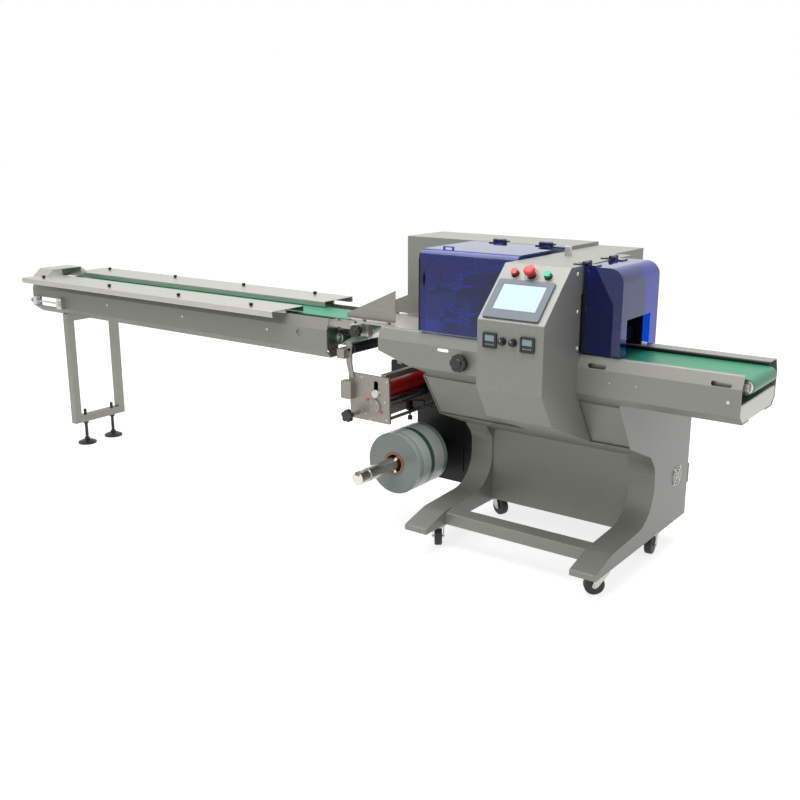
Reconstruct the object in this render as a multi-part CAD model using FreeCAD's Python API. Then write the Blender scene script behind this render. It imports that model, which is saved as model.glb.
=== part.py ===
import FreeCAD, Part
import math
import os

# Horizontal flow wrapper. Millimetres, X along the product path (infeed at -X, outfeed at +X),
# Y from the operator side (-Y) to the back, Z up. The origin lies on the floor, under the middle
# of the machine.

V = FreeCAD.Vector

# ---------------------------------------------------------------- driving dimensions
SHEET = 3.0                 # folded sheet of the body panels
BEND = 6.0                  # outer bend radius of the body panels
GAP = 0.3                   # seat clearance between curved faces of different bodies
PATH_Y = -44.0              # middle of the conveyor frames
BELT_Y = -72.0              # middle of the discharge belt

# body and legs
BODY_LEFT = 632.0
BODY_RIGHT = 1453.0
LEG_WIDTH = 102.0
LEG_BOTTOM = 108.0
LEG_REAR = 508.0
FRAME_BOTTOM = 718.0        # underside of the conveyor channels, top of the legs
SKIRT_TOP = (-202.0, 708.0)
SKIRT_BOTTOM = (-86.0, 531.0)
KNEE = (108.0, 450.0)
LEG_WAIST_HIGH = (160.0, 390.0)
LEG_WAIST_LOW = (165.0, 184.0)
LEG_FLAT = (-188.0, 166.0)
TOE_TOP = (-322.0, 130.0)
WALL_Y = 167.0              # front wall of the pedestal, between the legs
WALL_BOTTOM = 115.0
RECESS = 5.0                # depth of the skirt panel behind its frame
BAR_FRONT = -186.0          # crossbar between the toes
BAR_REAR = -130.0

# conveyor channel section, as half widths about PATH_Y
CHANNEL_TOP = 881.0
CHANNEL_SHOULDER = 838.0
CHANNEL_HIP = 746.0
TOP_HALF = 163.0
WIDE_HALF = 183.0
LOW_HALF = 155.0

# control tower
TOWER_LEFT = 1046.0
TOWER_RIGHT = 1299.0
TOWER_FRONT = -476.0
TOWER_FRONT_LOW = 777.0
TOWER_FRONT_HIGH = 1014.0
TOWER_CROWN_Y = -301.0
TOWER_TOP = 1186.0
TOWER_CHIN = (-400.0, 660.0)
TUNNEL_HALF = 118.0
TUNNEL_TOP = 1110.0

# rear cabinet
CABINET_LEFT = 275.0
CABINET_STEP = 1038.0
CABINET_RIGHT = 1231.0
CABINET_FRONT = 180.0
CABINET_REAR = 446.0
CABINET_TOP = 1200.0
CABINET_BOTTOM = 800.0

# apron, the front channel panel left of the tower
APRON_LEFT = 429.0
APRON_CUT_HIGH = 789.0      # height of the cut corner at the left edge
APRON_CUT_RUN = 573.0       # where that cut meets the hip bend
BED_LEFT = 215.0
BED_THICK = 3.0
BED_TOP = CHANNEL_TOP + BED_THICK

# hoods
HOOD_SHEET = 5.0
HOOD_LEFT = 619.0
HOOD_RIGHT = 1041.0
HOOD_FRONT = -216.0
HOOD_BOTTOM = 889.0
HOOD_RADIUS = 34.0
END_LEFT = 1305.0
END_RIGHT = 1448.0
END_FRONT = -216.0
END_REAR = 88.0
END_TOP = 1184.0
END_RADIUS = 50.0
END_DOOR_HALF = 98.0
END_DOOR_TOP = 1008.0
HINGE_R = 7.0

# discharge conveyor
OUT_RIGHT = 1868.0
OUT_BELT_TOP = 867.0
OUT_BELT_HALF = 117.0
BELT_THICK = 3.0
NOSE_R = 23.0
OUT_START = 1335.0
TRAY_Z = 786.0

# infeed conveyor
IN_LEFT = -1893.0
IN_RIGHT = 161.0
IN_BELT_TOP = 877.0
IN_BELT_HALF = 92.0
IN_SIDE_INSET = 4.0
COVER_LEFT = -1848.0
COVER_RIGHT = -65.0
COVER_TOP = 904.0
COVER_SHEET = 2.5
COVER_LIP = 26.0
COVER_OUT = 266.0
COVER_IN = 70.0
SIDE_COVER_LEFT = -72.0
TAIL_LEFT = -1893.0
TAIL_RIGHT = -1780.0
TAIL_TOP = 937.0
TAIL_FRONT_HALF = 165.0
TAIL_REAR_HALF = 90.0
STAND_X = -1656.0
STAND_TUBE = 38.0
STAND_HALF = 160.0
STAND_BAR_Z = 143.0
FOOT_HALF = 86.0
FOOT_R = 48.0

# film
ROLL_X = 447.0
ROLL_Z = 298.0
ROLL_R = 130.0
ROLL_FRONT = -146.0
ROLL_WIDTH = 203.0
CORE_R = 50.0
CORE_BORE = 38.0
SHAFT_R = 28.0
SHAFT_FRONT = -388.0
BRACKET_LEFT = 345.0
BRACKET_BOTTOM = 154.0
BRACKET_TOP = 700.0
PLATE = 6.0
DRIVE_LEFT = 228.0
DRIVE_RIGHT = 443.0
DRIVE_BOTTOM = 469.0
DRIVE_TOP = 663.0
DRIVE_FRONT = -170.0
DRIVE_THICK = 10.0
RED_X = 364.0
RED_Z = 595.0
RED_R = 32.0
STEEL_X = 367.0
STEEL_Z = 537.0
STEEL_R = 25.0
IDLER_X = 238.0
IDLER_Z = 759.0
IDLER_R = 21.0

# casters
CASTER_INSET = 48.0
CASTER_FRONT = -180.0
CASTER_REAR = 300.0
WHEEL_R = 38.0
WHEEL_WIDTH = 30.0
TRAIL = 28.0
FORK_TOP = 96.0


# ---------------------------------------------------------------- shapes
def at(axis, level, a, b):
    """Point (a, b) of the plane across an axis: (y, z) for x, (x, z) for y, (x, y) for z."""
    if axis == "x":
        return V(level, a, b)
    if axis == "y":
        return V(a, level, b)
    return V(a, b, level)


def along(axis, length):
    """Vector of a given length along an axis."""
    return V(length if axis == "x" else 0, length if axis == "y" else 0, length if axis == "z" else 0)


def rounding(before, here, after, radius):
    """Start, middle and end of the arc that rounds the corner at here."""
    u = V(before[0] - here[0], before[1] - here[1], 0).normalize()
    v = V(after[0] - here[0], after[1] - here[1], 0).normalize()
    half = u.getAngle(v) / 2
    reach = radius / math.tan(half)
    corner = V(here[0], here[1], 0)
    centre = corner + (u + v).normalize() * (radius / math.sin(half))
    middle = centre + (corner - centre).normalize() * radius
    return corner + u * reach, middle, corner + v * reach


def chain(points, radii, closed, axis, level):
    """Wire through points in the plane across an axis, with each corner rounded by its radius."""
    count = len(points)
    edges = []
    last = None
    first = None
    for i, here in enumerate(points):
        inner = closed or 0 < i < count - 1
        radius = radii.get(i, 0) if inner else 0
        if radius > 0:
            start, middle, end = rounding(points[i - 1], here, points[(i + 1) % count], radius)
        else:
            start = end = V(here[0], here[1], 0)
            middle = None
        places = [at(axis, level, p.x, p.y) if p is not None else None for p in (start, middle, end)]
        if last is not None and last.distanceToPoint(places[0]) > 1e-6:
            edges.append(Part.LineSegment(last, places[0]).toShape())
        if middle is not None:
            edges.append(Part.Arc(places[0], places[1], places[2]).toShape())
        if first is None:
            first = places[0]
        last = places[2]
    if closed:
        edges.append(Part.LineSegment(last, first).toShape())
    return Part.Wire(edges)


def slab(points, axis, low, high, radii=None):
    """Closed outline across an axis, extruded from low to high."""
    wire = chain(points, radii or {}, True, axis, low)
    return Part.Face(wire).extrude(along(axis, high - low))


def offset_chain(points, shift):
    """The chain of points moved sideways by shift (to the left of its direction), mitred."""
    moved = []
    for i, here in enumerate(points):
        normals = []
        for a, b in ((i - 1, i), (i, i + 1)):
            if 0 <= a and b < len(points):
                run = V(points[b][0] - points[a][0], points[b][1] - points[a][1], 0).normalize()
                normals.append(V(-run.y, run.x, 0))
        total = V(0, 0, 0)
        for normal in normals:
            total = total + normal
        unit = total.normalize()
        reach = shift / unit.dot(normals[0])
        moved.append((here[0] + unit.x * reach, here[1] + unit.y * reach))
    return moved


def turn_side(points, i):
    """+1 where the chain turns left at point i, -1 where it turns right."""
    ax = points[i][0] - points[i - 1][0]
    ay = points[i][1] - points[i - 1][1]
    bx = points[i + 1][0] - points[i][0]
    by = points[i + 1][1] - points[i][1]
    return 1 if ax * by - ay * bx > 0 else -1


def folded(points, axis, low, high, thick=SHEET, bend=BEND):
    """Folded sheet: points run along its outer face, and the thickness lies to their left."""
    inner = offset_chain(points, thick)
    outer_radii = {}
    inner_radii = {}
    count = len(points)
    for i in range(1, count - 1):
        side = turn_side(points, i)
        outer_radii[i] = bend if side > 0 else bend - thick
        inner_radii[count - 1 - i] = bend - thick if side > 0 else bend
    front = chain(points, outer_radii, False, axis, low)
    back = chain(inner[::-1], inner_radii, False, axis, low)
    ends = [
        Part.LineSegment(at(axis, low, *points[-1]), at(axis, low, *inner[-1])).toShape(),
        Part.LineSegment(at(axis, low, *inner[0]), at(axis, low, *points[0])).toShape(),
    ]
    wire = Part.Wire(front.Edges + [ends[0]] + back.Edges + [ends[1]])
    return Part.Face(wire).extrude(along(axis, high - low))


def box(x0, x1, y0, y1, z0, z1):
    return Part.makeBox(x1 - x0, y1 - y0, z1 - z0, V(x0, y0, z0))


def rod(axis, a, b, start, end, radius):
    """Cylinder along an axis, centred on (a, b) in the plane across it."""
    return Part.makeCylinder(radius, end - start, at(axis, start, a, b), along(axis, 1))


def ring(axis, a, b, start, end, radius, bore):
    return rod(axis, a, b, start, end, radius).cut(rod(axis, a, b, start - 1, end + 1, bore))


def soften(shape, radius, select):
    """Fillet the edges that select accepts."""
    edges = [edge for edge in shape.Edges if select(edge)]
    return shape.makeFillet(radius, edges) if edges else shape


def fuse(shapes):
    body = shapes[0]
    for shape in shapes[1:]:
        body = body.fuse(shape)
    return body.removeSplitter()


def toward(a, b, distance):
    """Point at a distance from a on the way to b."""
    run = V(b[0] - a[0], b[1] - a[1], 0).normalize()
    return a[0] + run.x * distance, a[1] + run.y * distance


def write(name, shape):
    shape.exportStep("parts/" + name + ".step")


# ---------------------------------------------------------------- body and base
def channel_front():
    """Outer section of the front half of the conveyor channel, from the top lip to the floor lip."""
    return [
        (PATH_Y - TOP_HALF + 12, CHANNEL_TOP),
        (PATH_Y - TOP_HALF, CHANNEL_TOP),
        (PATH_Y - WIDE_HALF, CHANNEL_SHOULDER),
        (PATH_Y - WIDE_HALF, CHANNEL_HIP),
        (PATH_Y - LOW_HALF, FRAME_BOTTOM),
        (PATH_Y - LOW_HALF + 70, FRAME_BOTTOM),
    ]


def channel_rear(lip):
    """Outer section of the rear half, from the floor lip up to a top lip of the given width."""
    front = channel_front()
    rear = [(2 * PATH_Y - y, z) for y, z in front[::-1]]
    rear[-1] = (rear[-2][0] - lip, CHANNEL_TOP)
    return rear


def leg_outline(top_front, skirt_low):
    return [
        top_front,
        skirt_low,
        KNEE,
        LEG_WAIST_HIGH,
        LEG_WAIST_LOW,
        LEG_FLAT,
        TOE_TOP,
        (TOE_TOP[0], LEG_BOTTOM),
        (LEG_REAR, LEG_BOTTOM),
        (LEG_REAR, FRAME_BOTTOM),
        (PATH_Y - LOW_HALF + 2, FRAME_BOTTOM),
    ]


LEG_RADII = {3: 70, 4: 140, 5: 60, 6: 6}


def recessed_edge(depth):
    """Top and bottom of the slanted front, moved back by depth."""
    run = V(SKIRT_BOTTOM[0] - SKIRT_TOP[0], SKIRT_BOTTOM[1] - SKIRT_TOP[1], 0).normalize()
    inward = V(-run.y, run.x, 0)
    under = V(KNEE[0] - SKIRT_BOTTOM[0], KNEE[1] - SKIRT_BOTTOM[1], 0).normalize()
    slide = depth / under.dot(inward)
    top = (SKIRT_TOP[0] + inward.x * depth, SKIRT_TOP[1] + inward.y * depth)
    low = (SKIRT_BOTTOM[0] + under.x * slide, SKIRT_BOTTOM[1] + under.y * slide)
    return top, low


def leg(side_low, side_high, box_low, box_high):
    """Side plate with the full outline, and the closed C-shaped box beam inside it."""
    plate = slab(leg_outline(SKIRT_TOP, SKIRT_BOTTOM), "x", side_low, side_high, LEG_RADII)
    top, low = recessed_edge(RECESS + SHEET)
    beam = slab(leg_outline(top, low), "x", box_low, box_high, LEG_RADII)
    return fuse([plate, beam])


def pedestal_cabinet():
    top, low = recessed_edge(RECESS + SHEET)
    slope = (KNEE[1] - SKIRT_BOTTOM[1]) / (KNEE[0] - SKIRT_BOTTOM[0])
    crease = KNEE[1] + slope * (WALL_Y - KNEE[0])
    outline = [
        top,
        low,
        (WALL_Y, crease),
        (WALL_Y, WALL_BOTTOM),
        (LEG_REAR - SHEET, WALL_BOTTOM),
        (LEG_REAR - SHEET, FRAME_BOTTOM),
        (PATH_Y - LOW_HALF + 2, FRAME_BOTTOM),
    ]
    return slab(outline, "x", BODY_LEFT + LEG_WIDTH, BODY_RIGHT - LEG_WIDTH)


def front_skirt():
    """Slanted panel with folded edges that come forward to the plane of its frame."""
    top, low = recessed_edge(RECESS)
    run = V(low[0] - top[0], low[1] - top[1], 0).normalize()
    rim_top = toward(SKIRT_TOP, SKIRT_BOTTOM, SHEET + 1)
    rim_low = toward(SKIRT_BOTTOM, SKIRT_TOP, SHEET + 1)
    back_top = (top[0] - run.y * SHEET, top[1] + run.x * SHEET)
    back_low = recessed_edge(RECESS + SHEET)[1]
    panel_top = toward(top, low, SHEET + 1)
    panel_low = toward(low, top, SHEET + 1)
    section = [SKIRT_TOP, rim_top, panel_top, panel_low, rim_low, SKIRT_BOTTOM, back_low, back_top]
    return slab(section, "x", BODY_LEFT + SHEET, BODY_RIGHT - SHEET)


def crossbar():
    low = LEG_BOTTOM + 2
    section = [
        (BAR_FRONT, low),
        (BAR_FRONT, 158),
        (BAR_REAR, 168),
        (BAR_REAR, low),
    ]
    return slab(section, "x", BODY_LEFT + LEG_WIDTH, BODY_RIGHT - LEG_WIDTH, {1: 4, 2: 4})


def control_tower():
    """Overhanging front tower, bridged over the product path to the rear cabinet."""
    outline = [
        (TOWER_FRONT, TOWER_FRONT_LOW),
        TOWER_CHIN,
        SKIRT_BOTTOM,
        SKIRT_TOP,
        (PATH_Y - LOW_HALF + 2, FRAME_BOTTOM),
        (CABINET_FRONT, FRAME_BOTTOM),
        (CABINET_FRONT, TOWER_TOP),
        (TOWER_CROWN_Y, TOWER_TOP),
        (TOWER_FRONT, TOWER_FRONT_HIGH),
    ]
    body = slab(outline, "x", TOWER_LEFT, TOWER_RIGHT, {0: 4, 1: 4, 7: 5, 8: 4})
    tunnel = box(TOWER_LEFT - 1, TOWER_RIGHT + 1, BELT_Y - TUNNEL_HALF, BELT_Y + TUNNEL_HALF,
                 OUT_BELT_TOP - 6, TUNNEL_TOP)
    return body.cut(tunnel)


def rear_cabinet():
    tall = box(CABINET_LEFT, CABINET_STEP, CABINET_FRONT, CABINET_REAR, CABINET_BOTTOM, CABINET_TOP)
    low = box(CABINET_STEP, CABINET_RIGHT, CABINET_FRONT, CABINET_REAR, CABINET_BOTTOM, TOWER_TOP)
    pillar = box(BODY_LEFT, CABINET_RIGHT, CABINET_FRONT, CABINET_REAR, FRAME_BOTTOM, CABINET_BOTTOM)
    body = fuse([tall, low, pillar])
    vertical = [e for e in tall.Edges if abs(e.tangentAt(e.FirstParameter).z) > 0.99]
    left_edges = [e for e in vertical if abs(e.BoundBox.XMin - CABINET_LEFT) < 0.1]
    wanted = [(round(e.BoundBox.XMin), round(e.BoundBox.YMin)) for e in left_edges]

    def choose(edge):
        upright = edge.BoundBox.ZLength > 300 and edge.BoundBox.XLength < 0.1
        return upright and (round(edge.BoundBox.XMin), round(edge.BoundBox.YMin)) in wanted
    return soften(body, 5, choose)


def front_apron():
    """Front channel panel left of the tower, with its lower left corner cut away."""
    panel = folded(channel_front(), "x", APRON_LEFT, TOWER_LEFT)
    slope = (CHANNEL_HIP - APRON_CUT_HIGH) / (APRON_CUT_RUN - APRON_LEFT)
    far_x = APRON_LEFT + (FRAME_BOTTOM - 20 - APRON_CUT_HIGH) / slope
    corner = slab([
        (APRON_LEFT - 10, APRON_CUT_HIGH - 10 * slope),
        (far_x, FRAME_BOTTOM - 20),
        (APRON_LEFT - 10, FRAME_BOTTOM - 20),
    ], "y", PATH_Y - WIDE_HALF - 10, PATH_Y)
    slot = slab([(712, 820), (764, 820), (764, 832), (712, 832)], "y",
                PATH_Y - WIDE_HALF - 5, PATH_Y - WIDE_HALF + 10, {0: 5.9, 1: 5.9, 2: 5.9, 3: 5.9})
    return panel.cut(corner).cut(slot)


def product_bed():
    """Flat bed between the infeed and the tower, with a rounded tongue at its left end."""
    front = PATH_Y - TOP_HALF + 2
    rear = CABINET_FRONT
    high = BED_TOP
    tongue_half = 70
    outline = [
        (BED_LEFT, PATH_Y - 30 - tongue_half),
        (BED_LEFT + 90, front + 8),
        (TOWER_LEFT, front + 8),
        (TOWER_LEFT, rear),
        (BED_LEFT + 215, rear),
        (BED_LEFT + 90, PATH_Y + 106),
        (BED_LEFT, PATH_Y + 30 + tongue_half),
    ]
    return slab(outline, "z", high - BED_THICK, high, {0: 30, 1: 30, 5: 20, 6: 30})


# ---------------------------------------------------------------- hoods
def front_hood():
    """Bent clear sheet over the forming side, with a left cheek and two hinge leaves."""
    skin = folded([
        (CABINET_FRONT - 12, CABINET_TOP),
        (HOOD_FRONT, CABINET_TOP),
        (HOOD_FRONT, HOOD_BOTTOM),
    ], "x", HOOD_LEFT, HOOD_RIGHT, HOOD_SHEET, HOOD_RADIUS)
    inside = HOOD_SHEET
    cheek = slab([
        (HOOD_FRONT + inside, HOOD_BOTTOM),
        (HOOD_FRONT + inside, CABINET_TOP - inside),
        (CABINET_FRONT - 12, CABINET_TOP - inside),
        (CABINET_FRONT - 12, 1080),
        (BELT_Y + TUNNEL_HALF + 14, 1080),
        (BELT_Y + TUNNEL_HALF + 14, 1050),
        (BELT_Y - TUNNEL_HALF + 14, 1050),
        (BELT_Y - TUNNEL_HALF + 14, HOOD_BOTTOM),
    ], "x", HOOD_LEFT, HOOD_LEFT + HOOD_SHEET, {1: HOOD_RADIUS - HOOD_SHEET})
    window = slab([
        (975, 40), (1100, 40), (1100, 152), (975, 152),
    ], "z", CABINET_TOP - 20, CABINET_TOP + 20, {0: 20, 3: 20})
    shell = fuse([skin, cheek]).cut(window)
    leaves = [hinge_leaf_front(x) for x in HOOD_HINGES]
    handle = grip()
    return Part.makeCompound([shell] + leaves + [handle])


HOOD_HINGES = (735.0, 943.0)
HINGE_HALF = 27.0
LEAF = 4.0


def hinge_leaf_front(x):
    """Moving leaf on top of the hood, with the middle knuckle round the pin."""
    leaf = box(x - HINGE_HALF + 4, x + HINGE_HALF - 4, CABINET_FRONT - 46, CABINET_FRONT - 12,
               CABINET_TOP, CABINET_TOP + LEAF)
    web = box(x - 11, x + 11, CABINET_FRONT - 14, CABINET_FRONT, CABINET_TOP + 0.4, CABINET_TOP + LEAF)
    knuckle = rod("x", CABINET_FRONT, CABINET_TOP + HINGE_R, x - 11, x + 11, HINGE_R - 0.2)
    bore = rod("x", CABINET_FRONT, CABINET_TOP + HINGE_R, x - 12, x + 12, 3.0 + GAP)
    return fuse([leaf, web, knuckle]).cut(bore)


def grip():
    """Small bridge handle near the front edge of the hood's top."""
    x = 722.0
    y = HOOD_FRONT + HOOD_RADIUS + 12
    path = [(x - 22, CABINET_TOP), (x - 22, CABINET_TOP + 12), (x + 22, CABINET_TOP + 12),
            (x + 22, CABINET_TOP)]
    return folded(path[::-1], "y", y - 5, y + 5, 4, 5)


def fixed_hinge_front(x):
    """Leaf on the cabinet with the two outer knuckles and the pin."""
    leaf = box(x - HINGE_HALF + 4, x + HINGE_HALF - 4, CABINET_FRONT + 8, CABINET_FRONT + 40,
               CABINET_TOP, CABINET_TOP + LEAF)
    parts = [leaf]
    for low, high in ((x - HINGE_HALF, x - 11.5), (x + 11.5, x + HINGE_HALF)):
        parts.append(box(low, high, CABINET_FRONT, CABINET_FRONT + 10, CABINET_TOP, CABINET_TOP + LEAF))
        parts.append(rod("x", CABINET_FRONT, CABINET_TOP + HINGE_R, low, high, HINGE_R))
    parts.append(rod("x", CABINET_FRONT, CABINET_TOP + HINGE_R, x - HINGE_HALF - 5, x + HINGE_HALF + 5, 3.0))
    return fuse(parts)


END_HINGES = (-188.0, 22.0)
END_PIN_X = TOWER_RIGHT


def fixed_hinge_end(y):
    leaf = box(END_PIN_X - 40, END_PIN_X - 8, y - HINGE_HALF + 4, y + HINGE_HALF - 4,
               TOWER_TOP, TOWER_TOP + LEAF)
    parts = [leaf]
    for low, high in ((y - HINGE_HALF, y - 11.5), (y + 11.5, y + HINGE_HALF)):
        parts.append(box(END_PIN_X - 10, END_PIN_X, low, high, TOWER_TOP, TOWER_TOP + LEAF))
        parts.append(rod("y", END_PIN_X, TOWER_TOP + HINGE_R, low, high, HINGE_R))
    parts.append(rod("y", END_PIN_X, TOWER_TOP + HINGE_R, y - HINGE_HALF - 5, y + HINGE_HALF + 5, 3.0))
    return fuse(parts)


def moving_leaf_end(y):
    leaf = box(END_PIN_X + 7, END_PIN_X + 44, y - HINGE_HALF + 4, y + HINGE_HALF - 4,
               END_TOP, END_TOP + LEAF)
    web = box(END_PIN_X, END_PIN_X + 12, y - 11, y + 11, END_TOP + 2, END_TOP + LEAF + 2)
    knuckle = rod("y", END_PIN_X, TOWER_TOP + HINGE_R, y - 11, y + 11, HINGE_R - 0.2)
    bore = rod("y", END_PIN_X, TOWER_TOP + HINGE_R, y - 12, y + 12, 3.0 + GAP)
    return fuse([leaf, web, knuckle]).cut(bore)


def end_hood():
    """Bent clear sheet over the jaws, with two cheeks and a doorway for the packs."""
    skin = folded([
        (END_RIGHT, HOOD_BOTTOM),
        (END_RIGHT, END_TOP),
        (END_LEFT + 1, END_TOP),
    ], "y", END_FRONT, END_REAR, HOOD_SHEET, END_RADIUS)
    door = box(END_RIGHT - 20, END_RIGHT + 20, BELT_Y - END_DOOR_HALF, BELT_Y + END_DOOR_HALF,
               HOOD_BOTTOM - 10, END_DOOR_TOP)
    inside = [
        (END_LEFT + 1, HOOD_BOTTOM),
        (END_RIGHT - HOOD_SHEET, HOOD_BOTTOM),
        (END_RIGHT - HOOD_SHEET, END_TOP - HOOD_SHEET),
        (END_LEFT + 1, END_TOP - HOOD_SHEET),
    ]
    cheeks = []
    for low in (END_FRONT, END_REAR - HOOD_SHEET):
        cheeks.append(slab(inside, "y", low, low + HOOD_SHEET, {2: END_RADIUS - HOOD_SHEET}))
    shell = fuse([skin.cut(door)] + cheeks)
    return Part.makeCompound([shell] + [moving_leaf_end(y) for y in END_HINGES])


def hood_hinges():
    front = [fixed_hinge_front(x) for x in HOOD_HINGES]
    end = [fixed_hinge_end(y) for y in END_HINGES]
    return Part.makeCompound(front + end)


# ---------------------------------------------------------------- controls
def slant_frame(x, along_slant):
    """Placement with local z out of the slanted panel, at a distance up from its lower edge."""
    run = V(0, TOWER_CROWN_Y - TOWER_FRONT, TOWER_TOP - TOWER_FRONT_HIGH).normalize()
    outward = V(0, -run.z, run.y)
    base = V(x, TOWER_FRONT, TOWER_FRONT_HIGH) + run * along_slant
    turn = FreeCAD.Rotation(V(1, 0, 0), run, outward, "ZXY")
    return FreeCAD.Placement(base, turn)


def on_slant(shape, x, along_slant):
    placed = shape.copy()
    placed.Placement = slant_frame(x, along_slant)
    return placed


def cushion(width, height, depth, radius):
    """Rounded rectangular block standing on z = 0, centred on the origin."""
    outline = [(-width / 2, -height / 2), (width / 2, -height / 2),
               (width / 2, height / 2), (-width / 2, height / 2)]
    return slab(outline, "z", 0, depth, {0: radius, 1: radius, 2: radius, 3: radius})


PANEL_X = 1166.0
PANEL_UP = 92.0
PANEL_WIDTH = 214.0
PANEL_HEIGHT = 162.0
BUTTON_UP = 202.0
STOP_X = 1105.0
EMERGENCY_X = 1168.0
START_X = 1231.0
COLLAR_H = 4.0


def touch_screen():
    bezel = cushion(PANEL_WIDTH, PANEL_HEIGHT, 7, 6)
    window = cushion(PANEL_WIDTH - 50, PANEL_HEIGHT - 55, 4, 1)
    window.translate(V(0, 8, 5))
    return on_slant(bezel.cut(window), PANEL_X, PANEL_UP)


def button_collars():
    collars = []
    for x, radius in ((STOP_X, 14.5), (EMERGENCY_X, 17.0), (START_X, 14.5)):
        collar = Part.makeCylinder(radius, COLLAR_H).cut(Part.makeCylinder(radius - 4.0, COLLAR_H))
        collars.append(on_slant(collar, x, BUTTON_UP))
    return Part.makeCompound(collars)


def push_button(x):
    """Square-headed button in its collar."""
    stem = Part.makeCylinder(10.0, 7)
    stem.translate(V(0, 0, 3.5))
    head = cushion(22, 22, 9, 6)
    head.translate(V(0, 0, COLLAR_H + 4.6))
    return on_slant(fuse([stem, head]), x, BUTTON_UP)


def emergency_stop():
    """Mushroom head on a stem."""
    profile = [(0, 3.5), (12.5, 3.5), (12.5, 20), (20, 23), (20, 31), (14, 35), (0, 36)]
    wire = chain(profile, {4: 4, 5: 8}, True, "y", 0)
    head = Part.Face(wire).revolve(V(0, 0, 0), V(0, 0, 1), 360)
    return on_slant(head, EMERGENCY_X, BUTTON_UP)


CONTROLLER_Z = 948.0
CONTROLLER_X = (1098.0, 1241.0)
KNOB_X = (1146.0, 1187.0)
KNOB_Z = 949.0


def temperature_controllers():
    """Two 48 mm panel controllers with bezel and recessed face."""
    units = []
    for x in CONTROLLER_X:
        outline = [(x - 26, CONTROLLER_Z - 26), (x + 26, CONTROLLER_Z - 26),
                   (x + 26, CONTROLLER_Z + 26), (x - 26, CONTROLLER_Z + 26)]
        body = slab(outline, "y", TOWER_FRONT - 8, TOWER_FRONT, {0: 3, 1: 3, 2: 3, 3: 3})
        face = box(x - 21, x + 21, TOWER_FRONT - 9, TOWER_FRONT - 6, CONTROLLER_Z - 21, CONTROLLER_Z + 21)
        units.append(body.cut(face))
    return Part.makeCompound(units)


def selector_knob(x):
    """Round control knob with a skirt."""
    y = TOWER_FRONT - GAP
    skirt = rod("y", x, KNOB_Z, y - 6, y, 14)
    cap = Part.makeCone(11, 9.5, 13, V(x, y - 6, KNOB_Z), V(0, -1, 0))
    return fuse([skirt, cap])


def hand_wheel(x, y, z, radius):
    """Lobed black hand knob with a domed hub, turning about Y, with its back face at y."""
    body = rod("y", x, z, y - 20, y, radius)
    for i in range(6):
        angle = math.radians(60 * i + 30)
        notch = rod("y", x + (radius + 5) * math.cos(angle), z + (radius + 5) * math.sin(angle),
                    y - 30, y + 10, 8.5)
        body = body.cut(notch)
    face = Part.makeCone(radius * 0.55, radius * 0.45, 5, V(x, y - 20, z), V(0, -1, 0))
    return fuse([body, face])


APRON_WHEEL = (827.0, 792.0)


def apron_handwheel():
    x, z = APRON_WHEEL
    face = PATH_Y - WIDE_HALF
    collar = rod("y", x, z, face - 14, face - GAP, 17)
    return fuse([collar, hand_wheel(x, face - 14, z, 34)])


BED_WHEEL = (300.0, 848.0)
BED_BLOCK_FRONT = -176.0


def bed_block():
    """Slide block under the bed, which carries the width hand knob."""
    x, z = BED_WHEEL
    return box(x - 20, x + 40, BED_BLOCK_FRONT, BED_BLOCK_FRONT + 28, z - 22, BED_TOP - BED_THICK)


def bed_handwheel():
    x, z = BED_WHEEL
    neck = rod("y", x, z, BED_BLOCK_FRONT - 22, BED_BLOCK_FRONT - GAP, 9)
    return fuse([neck, hand_wheel(x, BED_BLOCK_FRONT - 22, z, 26)])


# ---------------------------------------------------------------- conveyors
def belt_loop(circles, thick, y0, y1):
    """Belt round a convex set of pulleys (x, z, r), listed anticlockwise seen from -Y."""
    def outline(extra):
        count = len(circles)
        runs = []
        for i in range(count):
            xa, za, ra = circles[i]
            xb, zb, rb = circles[(i + 1) % count]
            line = V(xb - xa, 0, zb - za)
            tilt = (ra - rb) / line.Length
            line.normalize()
            normal = V(line.z, 0, -line.x) * math.sqrt(1 - tilt * tilt) + line * tilt
            runs.append((V(xa, 0, za) + normal * (ra + extra), V(xb, 0, zb) + normal * (rb + extra)))
        edges = []
        for i in range(count):
            x, z, r = circles[i]
            arrive = (runs[i - 1][1] - runs[i - 1][0]).normalize()
            leave = (runs[i][1] - runs[i][0]).normalize()
            middle = V(x, 0, z) + (arrive - leave).normalize() * (r + extra)
            edges.append(Part.Arc(runs[i - 1][1], middle, runs[i][0]).toShape())
            edges.append(Part.LineSegment(runs[i][0], runs[i][1]).toShape())
        wire = Part.Wire(edges)
        wire.translate(V(0, y0, 0))
        return Part.Face(wire).extrude(V(0, y1 - y0, 0))
    return outline(thick).cut(outline(0))


def outfeed_pulleys():
    top = OUT_BELT_TOP - BELT_THICK
    return [
        (OUT_RIGHT, top - NOSE_R, NOSE_R),
        (OUT_START, top - NOSE_R, NOSE_R),
    ]


def infeed_pulleys():
    top = IN_BELT_TOP - BELT_THICK
    return [
        (IN_LEFT + 50, top - 28, 28),
        (145, 793, 28),
        (270, top - 20, 20),
    ]


def outfeed_belt():
    circles = outfeed_pulleys()
    return belt_loop([circles[1], circles[0]], BELT_THICK, BELT_Y - OUT_BELT_HALF, BELT_Y + OUT_BELT_HALF)


def infeed_belt():
    return belt_loop(infeed_pulleys(), BELT_THICK, PATH_Y - IN_BELT_HALF, PATH_Y + IN_BELT_HALF)


def pulley(x, z, radius, y0, y1, reach):
    """Roller with stub axles."""
    return fuse([rod("y", x, z, y0, y1, radius), rod("y", x, z, y0 - reach, y1 + reach, 7)])


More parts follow.
